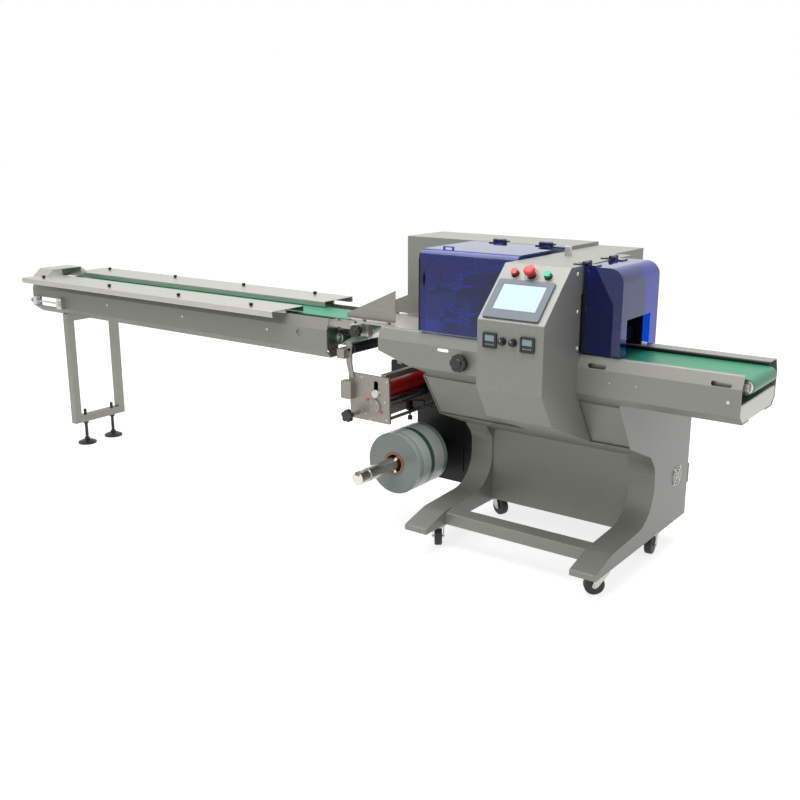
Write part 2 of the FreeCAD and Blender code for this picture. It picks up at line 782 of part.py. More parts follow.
def conveyor_rollers():
    rollers = []
    for x, z, r in outfeed_pulleys():
        rollers.append(pulley(x, z, r - GAP, BELT_Y - OUT_BELT_HALF, BELT_Y + OUT_BELT_HALF, 4))
    to_plate = WIDE_HALF - IN_SIDE_INSET - SHEET - IN_BELT_HALF
    for (x, z, r), reach in zip(infeed_pulleys(), (to_plate - 7, to_plate, 4)):
        rollers.append(pulley(x, z, r - GAP, PATH_Y - IN_BELT_HALF, PATH_Y + IN_BELT_HALF, reach))
    return Part.makeCompound(rollers)


def slot_cut(x0, x1, z, half, y0, y1):
    return slab([(x0, z - half), (x1, z - half), (x1, z + half), (x0, z + half)], "y", y0, y1,
                {0: half * 0.98, 1: half * 0.98, 2: half * 0.98, 3: half * 0.98})


def outfeed_front_rail():
    rail = folded(channel_front(), "x", TOWER_RIGHT, OUT_RIGHT)
    for x0, x1 in ((1337, 1404), (1766, 1834)):
        rail = rail.cut(slot_cut(x0, x1, 848, 8, PATH_Y - WIDE_HALF - 5, PATH_Y - TOP_HALF + 5))
    return rail


def outfeed_rear_rail():
    lip = PATH_Y + TOP_HALF - (BELT_Y + OUT_BELT_HALF) - 6
    return folded(channel_rear(lip), "x", TOWER_RIGHT, OUT_RIGHT)


def outfeed_tray():
    """Floor under the belt, folded down at the end to close the channel."""
    half = WIDE_HALF - SHEET - 0.5
    path = [
        (TOWER_RIGHT, TRAY_Z),
        (OUT_RIGHT - 1, TRAY_Z),
        (OUT_RIGHT - 1, CHANNEL_HIP),
    ]
    floor = folded(path[::-1], "y", PATH_Y - half, PATH_Y + half, SHEET, BEND)
    low_half = LOW_HALF - 7
    tip = slab([
        (PATH_Y - half + 5, CHANNEL_HIP), (PATH_Y - low_half, FRAME_BOTTOM + SHEET + 1),
        (PATH_Y + low_half, FRAME_BOTTOM + SHEET + 1), (PATH_Y + half - 5, CHANNEL_HIP),
    ], "x", OUT_RIGHT - 1 - SHEET, OUT_RIGHT - 1)
    return fuse([floor, tip])


def outfeed_slider():
    """Side bars that carry both rollers' axles, the slider plate between them, and their posts."""
    axis_z = OUT_BELT_TOP - BELT_THICK - NOSE_R
    front = BELT_Y - OUT_BELT_HALF - 4
    rear = BELT_Y + OUT_BELT_HALF + 4
    shapes = [box(OUT_START + 35, OUT_RIGHT - 35, front, rear, axis_z + 8, axis_z + NOSE_R)]
    for y in (front - 8, rear):
        shapes.append(box(OUT_START - 28, OUT_RIGHT + 12, y, y + 8, axis_z - 12, axis_z + 12))
        for x in (OUT_START + 80, OUT_RIGHT - 80):
            shapes.append(box(x - 10, x + 10, y, y + 8, TRAY_Z, axis_z - 12))
    return fuse(shapes)


def infeed_front_plate():
    """Long side panel with a cut corner at the tail and the tensioner's window."""
    section = [(y + IN_SIDE_INSET if y < PATH_Y - TOP_HALF - 1 else y, z) for y, z in channel_front()]
    panel = folded(section, "x", IN_LEFT, IN_RIGHT - 4)
    corner = slab([(IN_LEFT - 5, 752), (IN_LEFT + 55, FRAME_BOTTOM - 8), (IN_LEFT - 5, FRAME_BOTTOM - 8)],
                  "y", PATH_Y - WIDE_HALF - 10, PATH_Y - 60)
    window = slab([(IN_LEFT + 70, 752), (IN_LEFT + 235, 752), (IN_LEFT + 235, 798), (IN_LEFT + 70, 798)],
                  "y", PATH_Y - WIDE_HALF - 10, PATH_Y - WIDE_HALF + 20, {0: 6, 1: 6, 2: 6, 3: 6})
    return panel.cut(corner).cut(window)


def infeed_rear_plate():
    section = [(y - IN_SIDE_INSET if y > PATH_Y + TOP_HALF + 1 else y, z) for y, z in channel_rear(12)]
    panel = folded(section, "x", IN_LEFT, IN_RIGHT - 4)
    corner = slab([(IN_LEFT - 5, 752), (IN_LEFT + 55, FRAME_BOTTOM - 8), (IN_LEFT - 5, FRAME_BOTTOM - 8)],
                  "y", PATH_Y + 60, PATH_Y + WIDE_HALF + 10)
    return panel.cut(corner)


def infeed_side_cover():
    """Shallow cover over the drive end, a skin of the channel's section, with a round port."""
    outer = channel_front()[1:5]
    section = [(y - 0.5, z) for y, z in outer]
    section[0] = (section[0][0], CHANNEL_TOP + 3.5)
    inner = [(PATH_Y - WIDE_HALF + IN_SIDE_INSET, z) for z in (CHANNEL_HIP, CHANNEL_SHOULDER)]
    low = (PATH_Y - LOW_HALF, FRAME_BOTTOM)
    top = (PATH_Y - TOP_HALF, CHANNEL_TOP)
    body = slab(section[:3] + [(low[0] - 0.5, low[1])] + [low] + inner + [top], "x",
                SIDE_COVER_LEFT, IN_RIGHT)
    port = rod("y", 8, 812, PATH_Y - WIDE_HALF - 5, PATH_Y - WIDE_HALF + IN_SIDE_INSET + 5, 15)
    return body.cut(port)


def infeed_end_plate():
    """Plate across the drive end of the frame, open for the belt."""
    half = WIDE_HALF - IN_SIDE_INSET - SHEET - 0.5
    gap = IN_BELT_HALF + 12
    outline = [
        (PATH_Y - half, 760), (PATH_Y - half + 30, 724), (PATH_Y + half - 30, 724), (PATH_Y + half, 760),
        (PATH_Y + half, 838), (PATH_Y + half - 18, 877), (PATH_Y + gap, 877), (PATH_Y + gap, 750),
        (PATH_Y - gap, 750), (PATH_Y - gap, 877), (PATH_Y - half + 18, 877), (PATH_Y - half, 838),
    ]
    return slab(outline, "x", IN_RIGHT - 4 - SHEET, IN_RIGHT - 4)


def infeed_bed():
    """Slider bed between the belt's runs, on cross bars, with arms out to the nose roller."""
    top = IN_BELT_TOP - BELT_THICK
    half = IN_BELT_HALF + 4
    plate = WIDE_HALF - IN_SIDE_INSET - SHEET
    nose_x, nose_z, nose_r = infeed_pulleys()[2]
    shapes = [box(IN_LEFT + 95, nose_x - 32, PATH_Y - half, PATH_Y + half, top - 38, top)]
    for i in range(5):
        x = IN_LEFT + 160 + 430 * i
        shapes.append(box(x - 15, x + 15, PATH_Y - plate, PATH_Y + plate, top - 52, top - 38))
    for y in (PATH_Y - half - 8, PATH_Y + half):
        shapes.append(box(IN_RIGHT - 150, nose_x + 12, y, y + 8, nose_z - 12, nose_z + 12))
    return fuse(shapes)


def cover_front():
    out = PATH_Y - COVER_OUT
    inner = PATH_Y - COVER_IN
    return folded([
        (inner, COVER_TOP - COVER_LIP + 2),
        (inner, COVER_TOP),
        (out, COVER_TOP),
        (out, COVER_TOP - COVER_LIP),
        (out + 12, COVER_TOP - COVER_LIP),
    ], "x", COVER_LEFT, COVER_RIGHT, COVER_SHEET, 4)


def infeed_cover():
    """Top cover with turned-down edges, and the spacer rail that lifts it off the side panel."""
    y0 = PATH_Y - TOP_HALF
    rail = box(COVER_LEFT + 20, COVER_RIGHT - 20, y0, y0 + 10, CHANNEL_TOP, COVER_TOP - COVER_SHEET)
    return Part.makeCompound([cover_front(), rail])


def tail_cover():
    """Cap over the tail pulley, with chamfered long edges, notched over the top covers."""
    y0 = PATH_Y - TAIL_FRONT_HALF
    y1 = PATH_Y + TAIL_REAR_HALF
    outline = [
        (y0, CHANNEL_TOP), (y0, 902), (y0 + 40, TAIL_TOP),
        (y1 - 40, TAIL_TOP), (y1, 902), (y1, CHANNEL_TOP),
    ]
    body = slab(outline[::-1], "x", TAIL_LEFT, TAIL_RIGHT)
    inner = COVER_IN - 1
    for y_low, y_high in ((y0 - 1, PATH_Y - inner), (PATH_Y + inner, y1 + 1)):
        body = body.cut(box(COVER_LEFT - 1, TAIL_RIGHT + 1, y_low, y_high, CHANNEL_TOP - 1, COVER_TOP + GAP))
    hollow = box(TAIL_LEFT + SHEET, TAIL_RIGHT + 1, PATH_Y - inner, PATH_Y + inner - 20,
                 CHANNEL_TOP - 1, TAIL_TOP - SHEET)
    return body.cut(hollow)


def tensioner():
    """Belt tensioner: bracket, screw, lock nut and slide block."""
    y = PATH_Y - WIDE_HALF + IN_SIDE_INSET - 12
    z = 776
    face = PATH_Y - WIDE_HALF + IN_SIDE_INSET
    bracket = box(IN_LEFT + 30, IN_LEFT + 62, y - 12, face, z - 20, z + 24)
    screw = rod("x", y, z, IN_LEFT + 10, IN_LEFT + 240, 5)
    head = Part.makeCylinder(11, 12, V(IN_LEFT + 4, y, z), V(1, 0, 0))
    nut = Part.makeCylinder(10, 9, V(IN_LEFT + 62, y, z), V(1, 0, 0))
    block = box(IN_LEFT + 236, IN_LEFT + 276, y - 14, face, z - 26, z + 30)
    boss = rod("y", IN_LEFT + 256, z, y - 24, y - 14, 13)
    return fuse([bracket, screw, head, nut, block, boss])


def infeed_stand():
    """Two upright tubes under the conveyor, joined by a bottom tube."""
    half = STAND_TUBE / 2
    shapes = []
    for side in (-1, 1):
        y = PATH_Y + side * (STAND_HALF - half)
        y0, y1 = y - half, y + half
        shapes.append(box(STAND_X - half, STAND_X + half, y0, y1, STAND_BAR_Z - half, FRAME_BOTTOM - 0.0))
    y_in = STAND_HALF - STAND_TUBE
    shapes.append(box(STAND_X - half, STAND_X + half, PATH_Y - y_in, PATH_Y + y_in,
                      STAND_BAR_Z - half, STAND_BAR_Z + half))
    top = box(STAND_X - half, STAND_X + half, PATH_Y - y_in, PATH_Y + y_in,
              FRAME_BOTTOM - STAND_TUBE, FRAME_BOTTOM)
    shapes.append(top)
    body = fuse(shapes)
    for side in (-1, 1):
        body = body.cut(rod("z", STAND_X, PATH_Y + side * FOOT_HALF, 90, 170, 8))
    return body


def stand_feet():
    """Levelling feet: a round pad, a ball neck and a screw up through the bottom tube."""
    feet = []
    for side in (-1, 1):
        y = PATH_Y + side * FOOT_HALF
        profile = [(0, 0), (FOOT_R, 0), (FOOT_R, 8), (30, 16), (14, 20), (14, 30), (0, 30)]
        pad = Part.Face(chain(profile, {}, True, "y", 0)).revolve(V(0, 0, 0), V(0, 0, 1), 360)
        pad.translate(V(STAND_X, y, 0))
        screw = rod("z", STAND_X, y, 28, 190, 8)
        nut = rod("z", STAND_X, y, STAND_BAR_Z - STAND_TUBE / 2 - 12, STAND_BAR_Z - STAND_TUBE / 2, 14)
        feet.append(fuse([pad, screw, nut]))
    return Part.makeCompound(feet)


# ---------------------------------------------------------------- forming box
def forming_box():
    """Two triangular guide plates on feet, standing on the bed either side of the path."""
    pieces = []
    inner = 106.0
    for side in (-1, 1):
        y = PATH_Y + side * inner
        y0, y1 = (y - 2, y) if side < 0 else (y, y + 2)
        right = 459 if side < 0 else 540
        top = 1019 if side < 0 else 1040
        low = 893
        plate = slab([(211, low), (right, low), (right, top), (211, low + 14)], "y", y0, y1)
        flange = box(211, right, min(y, y + side * 14), max(y, y + side * 14), low - 2, low)
        posts = []
        for x in (300, 425):
            posts.append(box(x, x + 10, min(y, y + side * 14), max(y, y + side * 14), BED_TOP, low - 2))
        pieces.append(fuse([plate, flange] + posts))
    return Part.makeCompound(pieces)


# ---------------------------------------------------------------- film
def film_bracket_plate():
    """Back plate of the film side, fixed to the left leg, with a raised shaft mount."""
    outline = [
        (BRACKET_LEFT, BRACKET_BOTTOM), (BODY_LEFT, BRACKET_BOTTOM), (BODY_LEFT, BRACKET_TOP),
        (350, BRACKET_TOP), (310, 655), (200, 655), (200, 446), (BRACKET_LEFT, 446),
    ]
    plate = slab(outline, "y", WALL_Y - 4, WALL_Y - 4 + PLATE, {0: 12, 5: 12, 6: 12})
    mount = slab([
        (BRACKET_LEFT + 20, 200), (590, 200), (590, 470), (BRACKET_LEFT + 20, 470),
    ], "y", WALL_Y - 9, WALL_Y - 4, {0: 15, 1: 15, 2: 15, 3: 15})
    bearing = rod("y", ROLL_X, ROLL_Z, WALL_Y - 45, WALL_Y - 9, 42)
    body = fuse([plate, mount, bearing])
    for x, z, radius in ((ROLL_X, ROLL_Z, 18), (RED_X, RED_Z, 9), (STEEL_X, STEEL_Z, 9)):
        body = body.cut(rod("y", x, z, WALL_Y - 60, WALL_Y + 10, radius + GAP))
    return body


def film_roll():
    """Film wound on a card core that stands out a little at both ends."""
    wound = ring("y", ROLL_X, ROLL_Z, ROLL_FRONT, ROLL_FRONT + ROLL_WIDTH, ROLL_R, CORE_BORE)
    core = ring("y", ROLL_X, ROLL_Z, ROLL_FRONT - 2, ROLL_FRONT + ROLL_WIDTH + 2, CORE_R, CORE_BORE)
    return fuse([wound, core])


def film_shaft():
    """Reel shaft with expanding keys, a stepped nose, and a journal in the bearing."""
    rear = WALL_Y - 45
    body = rod("y", ROLL_X, ROLL_Z, SHAFT_FRONT + 60, rear - 6, SHAFT_R)
    nose = rod("y", ROLL_X, ROLL_Z, SHAFT_FRONT, SHAFT_FRONT + 52, SHAFT_R - 1)
    groove = rod("y", ROLL_X, ROLL_Z, SHAFT_FRONT + 52, SHAFT_FRONT + 60, SHAFT_R - 4)
    flat = box(ROLL_X - 12, ROLL_X + 12, SHAFT_FRONT - 1, SHAFT_FRONT + 22, ROLL_Z + 12, ROLL_Z + 40)
    flange = rod("y", ROLL_X, ROLL_Z, ROLL_FRONT + ROLL_WIDTH + 8, ROLL_FRONT + ROLL_WIDTH + 14, 60)
    journal = rod("y", ROLL_X, ROLL_Z, rear - 6, WALL_Y + 8, 18)
    keys = []
    for i in range(3):
        key = box(-6, 6, ROLL_FRONT - 12, ROLL_FRONT + ROLL_WIDTH - 6, SHAFT_R - 4, CORE_BORE - 0.8)
        key.rotate(V(0, 0, 0), V(0, 1, 0), 120 * i + 35)
        key.translate(V(ROLL_X, 0, ROLL_Z))
        keys.append(key)
    shaft = fuse([body, nose, groove, flange, journal] + keys)
    return shaft.cut(flat)


def film_drive_frame():
    """Front plate with its boss covers, and the bars that tie it to the back plate."""
    back = WALL_Y - 4
    y0 = DRIVE_FRONT
    y1 = DRIVE_FRONT + DRIVE_THICK
    plate = slab([
        (DRIVE_LEFT + 12, DRIVE_BOTTOM), (DRIVE_RIGHT, DRIVE_BOTTOM), (DRIVE_RIGHT - 4, DRIVE_TOP),
        (DRIVE_LEFT, DRIVE_TOP),
    ], "y", y0, y1, {0: 4, 1: 4, 2: 4, 3: 14})
    cover = rod("y", STEEL_X, STEEL_Z, y0 - 6, y0, 29)
    clamp = slab([
        (DRIVE_LEFT - 20, 553), (DRIVE_LEFT + 34, 553), (DRIVE_LEFT + 34, 630), (DRIVE_LEFT - 20, 630),
    ], "y", y0 - 28, y0, {0: 8, 1: 8, 2: 8, 3: 8})
    top_bar = box(392, 417, y1, back, DRIVE_TOP - 14, DRIVE_TOP + 9)
    side_bar = box(DRIVE_RIGHT - 18, DRIVE_RIGHT - 6, y1, back, 509, 539)
    low_bar = rod("y", DRIVE_RIGHT - 12, 489, y1, back, 7)
    left_bar = rod("y", DRIVE_LEFT + 24, 500, y1, back, 8)
    knob_post = rod("y", 275, 495, y0 - 52, y0, 9)
    body = fuse([plate, cover, clamp, top_bar, side_bar, low_bar, left_bar, knob_post])
    for x, z, r in ((RED_X, RED_Z, 9), (STEEL_X, STEEL_Z, 9)):
        body = body.cut(rod("y", x, z, y0 - 1, y1 + 1, r + GAP))
    return body


def drive_roller(x, z, radius):
    """Roller with journals in the front plate and the back plate."""
    y1 = DRIVE_FRONT + DRIVE_THICK
    back = WALL_Y - 4
    barrel = rod("y", x, z, y1 + 6, back - 6, radius)
    axle = rod("y", x, z, y1 - 6, back + PLATE - 1, 9)
    return fuse([barrel, axle])


def film_star_knob():
    """Five-lobed clamping knob on the post of the drive plate."""
    y = DRIVE_FRONT - 52 - GAP
    x, z = 275, 495
    hub = rod("y", x, z, y - 24, y, 17)
    lobes = [hub]
    for i in range(5):
        angle = math.radians(72 * i + 18)
        lobes.append(rod("y", x + 15 * math.cos(angle), z + 15 * math.sin(angle), y - 24, y - 4, 12))
    return fuse(lobes)


def photo_sensor():
    """Print-mark sensor on an angle bracket clamped to the side bar."""
    x = DRIVE_RIGHT - 6
    y = -30
    clamp = box(x, x + 14, y - 18, y + 18, 505, 543)
    arm = box(x + 14, x + 60, y - 3, y + 15, 521, 525)
    head = cushion(50, 26, 24, 4)
    head.rotate(V(0, 0, 0), V(0, 0, 1), 30)
    head.translate(V(x + 46, y + 6, 525))
    post = rod("z", x + 7, y, 478, 505, 4)
    button = rod("z", x + 7, y, 462, 478, 10)
    return fuse([clamp, arm, head, post, button])


def idler_arm():
    """Flat arm from the drive plate up to the infeed frame, with the idler's fork."""
    y0 = DRIVE_FRONT - 6
    arm = slab([
        (240, 640), (262, 640), (250, 700), (IDLER_X + 14, 790), (IDLER_X - 16, 796), (222, 700),
    ], "y", y0, DRIVE_FRONT)
    bore = rod("y", IDLER_X, IDLER_Z, y0 - 1, DRIVE_FRONT + 1, 6 + GAP)
    block = box(IDLER_X - 46, IDLER_X - 8, y0 - 24, y0, 722, 760)
    rear_arm = slab([
        (240, 640), (262, 640), (250, 700), (IDLER_X + 14, 790), (IDLER_X - 16, 796), (222, 700),
    ], "y", WALL_Y - 10, WALL_Y - 4)
    rear_bore = rod("y", IDLER_X, IDLER_Z, WALL_Y - 11, WALL_Y - 3, 6 + GAP)
    return Part.makeCompound([fuse([arm, block]).cut(bore), rear_arm.cut(rear_bore)])


def idler_roller():
    start = DRIVE_FRONT + 4
    end = WALL_Y - 14
    barrel = rod("y", IDLER_X, IDLER_Z, start, end, IDLER_R)
    axle = rod("y", IDLER_X, IDLER_Z, DRIVE_FRONT - 8, WALL_Y - 3, 6)
    return fuse([barrel, axle])


# ---------------------------------------------------------------- casters
def caster_fork(x, y, angle):
    """Swivel fork hanging under the foot, trailing at an angle about Z."""
    plate = cushion(60, 60, LEG_BOTTOM - FORK_TOP - 2 - GAP, 6)
    plate.translate(V(0, 0, FORK_TOP + 2 + GAP))
    race = rod("z", 0, 0, FORK_TOP - 2, FORK_TOP + 2, 24)
    cheeks = []
    for side in (-1, 1):
        y0 = side * (WHEEL_WIDTH / 2 + 5)
        y1 = y0 + side * 3
        cheek = slab([
            (-22, FORK_TOP - 6), (22, FORK_TOP - 6), (TRAIL + 11, WHEEL_R - 3), (TRAIL, WHEEL_R - 11),
            (TRAIL - 11, WHEEL_R - 3),
        ], "y", min(y0, y1), max(y0, y1), {3: 6})
        cheeks.append(cheek)
    crown = box(-22, 22, -WHEEL_WIDTH / 2 - 8, WHEEL_WIDTH / 2 + 8, FORK_TOP - 6, FORK_TOP - 2)
    axle = rod("y", TRAIL, WHEEL_R, -WHEEL_WIDTH / 2 - 11, WHEEL_WIDTH / 2 + 11, 4)
    fork = fuse([race, crown, axle] + cheeks)
    fork.rotate(V(0, 0, 0), V(0, 0, 1), angle)
    fork.translate(V(x, y, 0))
    plate.translate(V(x, y, 0))
    return fork, plate


def caster_wheel(x, y, angle):
    profile = [
        (4.3, -WHEEL_WIDTH / 2), (WHEEL_R - 4, -WHEEL_WIDTH / 2), (WHEEL_R, -WHEEL_WIDTH / 2 + 4),
        (WHEEL_R, WHEEL_WIDTH / 2 - 4), (WHEEL_R - 4, WHEEL_WIDTH / 2), (4.3, WHEEL_WIDTH / 2),
    ]
    wire = chain(profile, {1: 3, 2: 3, 3: 3, 4: 3}, True, "z", 0)
    wheel = Part.Face(wire).revolve(V(0, 0, 0), V(0, 1, 0), 360)
    wheel.translate(V(TRAIL, 0, WHEEL_R))
    wheel.rotate(V(0, 0, 0), V(0, 0, 1), angle)
    wheel.translate(V(x, y, 0))
    return wheel


CASTERS = (
    ("front_left", BODY_LEFT + CASTER_INSET + 16, CASTER_FRONT, 126.5),
    ("front_right", BODY_RIGHT - CASTER_INSET + 8, CASTER_FRONT, 216.5),
    ("rear_left", BODY_LEFT + CASTER_INSET, CASTER_REAR, -19.5),
    ("rear_right", BODY_RIGHT - CASTER_INSET, CASTER_REAR, 276.0),
)


# ---------------------------------------------------------------- small fixed pieces
def main_switch():
    return box(1380, 1450, LEG_REAR, LEG_REAR + 22, 238, 318)


def jaw_unit():
    """Sealing jaws over the belt: side frame with an upper and a lower crimper shaft."""
    left = TOWER_RIGHT
    x0 = left
    x1 = left + 110
    frame = []
    for y0 in (BELT_Y - OUT_BELT_HALF - 14, BELT_Y + OUT_BELT_HALF + 4):
        frame.append(box(x0, x1, y0, y0 + 10, 884, 1125))
    for z in (1100, 940):
        frame.append(rod("y", x0 + 62, z, BELT_Y - OUT_BELT_HALF - 4, BELT_Y + OUT_BELT_HALF + 4, 14))
        frame.append(box(x0 + 40, x0 + 84, BELT_Y - OUT_BELT_HALF + 10, BELT_Y + OUT_BELT_HALF - 10,
                         z - 32, z + 12))
    return fuse(frame)


def main():
    os.makedirs("parts", exist_ok=True)
    write("left_leg", leg(BODY_LEFT, BODY_LEFT + SHEET, BODY_LEFT + SHEET, BODY_LEFT + LEG_WIDTH))
    write("right_leg", leg(BODY_RIGHT - SHEET, BODY_RIGHT, BODY_RIGHT - LEG_WIDTH, BODY_RIGHT - SHEET))
    write("pedestal_cabinet", pedestal_cabinet())
    write("front_skirt", front_skirt())
    write("crossbar", crossbar())
    write("control_tower", control_tower())
    write("rear_cabinet", rear_cabinet())
    write("front_apron", front_apron())
    write("product_bed", fuse([product_bed(), bed_block()]))
    write("front_hood", front_hood())
    write("end_hood", end_hood())
    write("hood_hinges", hood_hinges())
    write("touch_screen", touch_screen())
    write("button_collars", button_collars())
    write("stop_button", push_button(STOP_X))
    write("start_button", push_button(START_X))
    write("emergency_stop", emergency_stop())
    write("temperature_controllers", temperature_controllers())
    write("left_selector_knob", selector_knob(KNOB_X[0]))
    write("right_selector_knob", selector_knob(KNOB_X[1]))
    write("apron_handwheel", apron_handwheel())
    write("bed_handwheel", bed_handwheel())
    write("outfeed_front_rail", outfeed_front_rail())
    write("outfeed_rear_rail", outfeed_rear_rail())
    write("outfeed_bed", fuse([outfeed_tray(), outfeed_slider()]))
    write("outfeed_belt", outfeed_belt())
    write("conveyor_rollers", conveyor_rollers())
    write("infeed_front_plate", infeed_front_plate())
    write("infeed_rear_plate", infeed_rear_plate())
    write("infeed_side_cover", infeed_side_cover())
    write("infeed_bed", Part.makeCompound([infeed_bed(), infeed_end_plate()]))
    write("infeed_belt", infeed_belt())
    write("infeed_front_cover", infeed_cover())
    write("infeed_rear_cover", infeed_cover().mirror(V(0, PATH_Y, 0), V(0, 1, 0)))
    write("tail_cover", tail_cover())
    write("belt_tensioner", tensioner())
    write("infeed_stand", infeed_stand())
    write("stand_feet", stand_feet())
    write("forming_box", forming_box())
    write("film_bracket_plate", film_bracket_plate())
    write("film_roll", film_roll())
    write("film_shaft", film_shaft())
    write("film_drive_frame", film_drive_frame())
    write("red_roller", drive_roller(RED_X, RED_Z, RED_R))
    write("drive_roller", drive_roller(STEEL_X, STEEL_Z, STEEL_R))
    write("film_star_knob", film_star_knob())
    write("photo_sensor", photo_sensor())
    write("idler_arm", idler_arm())
    write("idler_roller", idler_roller())
    write("jaw_unit", jaw_unit())
    plates = []
    for name, x, y, angle in CASTERS:
        fork, plate = caster_fork(x, y, angle)
        plates.append(plate)
        write(name + "_fork", fork)
        write(name + "_wheel", caster_wheel(x, y, angle))
    write("caster_plates", Part.makeCompound(plates))
    write("main_switch", main_switch())


main()
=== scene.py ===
import math

import bpy
import numpy as np
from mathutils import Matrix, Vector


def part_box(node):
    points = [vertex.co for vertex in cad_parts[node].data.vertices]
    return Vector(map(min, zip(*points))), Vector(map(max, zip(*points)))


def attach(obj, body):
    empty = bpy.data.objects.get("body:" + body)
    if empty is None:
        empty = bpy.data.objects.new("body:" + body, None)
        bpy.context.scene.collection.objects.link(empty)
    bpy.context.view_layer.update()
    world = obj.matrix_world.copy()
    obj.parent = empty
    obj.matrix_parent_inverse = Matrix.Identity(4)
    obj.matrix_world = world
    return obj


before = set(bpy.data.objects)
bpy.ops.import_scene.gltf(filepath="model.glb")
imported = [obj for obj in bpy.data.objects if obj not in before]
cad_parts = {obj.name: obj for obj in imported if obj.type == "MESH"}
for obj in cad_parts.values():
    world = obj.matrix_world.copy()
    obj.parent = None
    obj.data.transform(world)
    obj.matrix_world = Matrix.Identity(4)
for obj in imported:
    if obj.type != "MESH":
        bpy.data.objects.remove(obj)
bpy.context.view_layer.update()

bl_info = {
    "name": "Flow wrapper looks",
    "version": (1, 0, 0),
    "blender": (4, 5, 0),
    "location": "3D View > Sidebar > Wrapper",
    "description": "Finishes and small fittings for a horizontal flow wrapper",
    "category": "Object",
}


# ---------------------------------------------------------------- settings
class WrapperColours(bpy.types.PropertyGroup):
    """Main finishes, as sRGB hex values."""
    body: bpy.props.StringProperty(name="Body paint", description="Silver-grey paint", default="#8E8E87")
    hood: bpy.props.StringProperty(name="Hood", description="Tinted acrylic hoods", default="#0C46C6")
    belt: bpy.props.StringProperty(name="Belt", description="Conveyor belts", default="#23805C")
    red: bpy.props.StringProperty(name="Red roller", description="Rubber-covered roller", default="#C8201A")


class WrapperSizes(bpy.types.PropertyGroup):
    """Sizes of the fittings."""
    screw: bpy.props.FloatProperty(
        name="Screw head", description="Radius of a body screw's head",
        default=0.006, unit="LENGTH", subtype="DISTANCE")
    wing: bpy.props.FloatProperty(
        name="Cover screw", description="Radius of a knurled cover screw",
        default=0.009, unit="LENGTH", subtype="DISTANCE")
    trim: bpy.props.FloatProperty(
        name="Edge trim", description="Width of the black edge trims",
        default=0.008, unit="LENGTH", subtype="DISTANCE")


def colours():
    return bpy.context.scene.wrapper_colours


def sizes():
    return bpy.context.scene.wrapper_sizes


# ---------------------------------------------------------------- materials
def linear(code):
    """sRGB hex to linear RGBA."""
    value = np.array([int(code[i:i + 2], 16) for i in (1, 3, 5)]) / 255.0
    value = np.where(value <= 0.04045, value / 12.92, ((value + 0.055) / 1.055) ** 2.4)
    return (*value.tolist(), 1.0)


def add(tree, kind, inputs=None, **settings):
    """Adds a node, sets its settings, and sets or links its inputs."""
    node = tree.nodes.new(kind)
    for name, value in settings.items():
        setattr(node, name, value)
    for key, value in (inputs or {}).items():
        socket = node.inputs[key]
        if isinstance(value, bpy.types.NodeSocket):
            tree.links.new(value, socket)
        else:
            socket.default_value = value
    return node


def new_material(name):
    """An empty node material and its tree."""
    material = bpy.data.materials.new(name)
    material.use_nodes = True
    material.node_tree.nodes.clear()
    return material, material.node_tree


def finish(material, tree, shader):
    add(tree, "ShaderNodeOutputMaterial", {"Surface": shader.outputs[0]})
    return material


def ramp(tree, factor, stops):
    """Colour ramp through (position, hex) stops."""
    node = add(tree, "ShaderNodeValToRGB", {"Fac": factor})
    while len(node.color_ramp.elements) < len(stops):
        node.color_ramp.elements.new(0.5)
    for element, (place, code) in zip(node.color_ramp.elements, stops):
        element.position = place
        element.color = linear(code)
    return node


def grain(tree, size, stretch=(1, 1, 1), detail=3):
    """Noise on the object's own coordinates with features of a real size in metres."""
    place = add(tree, "ShaderNodeTexCoord").outputs["Object"]
    moved = add(tree, "ShaderNodeMapping", {"Vector": place, "Scale": stretch}).outputs[0]
    return add(tree, "ShaderNodeTexNoise", {"Vector": moved, "Scale": 1.0 / size, "Detail": detail})


def silver_paint():
    """Silver powder coat with metal flake: fine speckle, soft orange peel of about 3 mm."""
    material, tree = new_material("silver_powder_coat")
    flake = grain(tree, 0.0016)
    code = colours().body
    tone = ramp(tree, flake.outputs["Fac"], [(0.3, shade(code, 0.93)), (0.7, shade(code, 1.06))])
    peel = grain(tree, 0.004)
    bump = add(tree, "ShaderNodeBump", {"Height": peel.outputs["Fac"], "Strength": 0.12, "Distance": 0.0003})
    shader = add(tree, "ShaderNodeBsdfPrincipled", {
        "Base Color": tone.outputs[0], "Metallic": 0.25, "Roughness": 0.42, "Normal": bump.outputs[0]})
    return finish(material, tree, shader)


def shade(code, factor):
    """The same colour, lighter or darker by a factor."""
    parts = [min(255, round(int(code[i:i + 2], 16) * factor)) for i in (1, 3, 5)]
    return "#%02X%02X%02X" % tuple(parts)


def brushed_stainless(name="brushed_stainless", low="#B0AFA8", high="#C6C5BE"):
    """Brushed stainless sheet: long grain along X, 0.5 mm wide, drawn a little coarser to show."""
    material, tree = new_material(name)
    lines = grain(tree, 0.0012, (0.02, 1, 1))
    tone = ramp(tree, lines.outputs["Fac"], [(0.3, low), (0.7, high)])
    rough = add(tree, "ShaderNodeMapRange", {
        "Value": lines.outputs["Fac"], "To Min": 0.30, "To Max": 0.46})
    shader = add(tree, "ShaderNodeBsdfPrincipled", {
        "Base Color": tone.outputs[0], "Metallic": 0.8, "Roughness": rough.outputs[0]})
    return finish(material, tree, shader)


def turned_steel():
    """Turned and polished steel: bright, with faint rings."""
    material, tree = new_material("turned_steel")
    rings = grain(tree, 0.0015, (0.05, 1, 0.05))
    rough = add(tree, "ShaderNodeMapRange", {
        "Value": rings.outputs["Fac"], "To Min": 0.18, "To Max": 0.34})
    shader = add(tree, "ShaderNodeBsdfPrincipled", {
        "Base Color": linear("#C9C7C2"), "Metallic": 1.0, "Roughness": rough.outputs[0]})
    return finish(material, tree, shader)


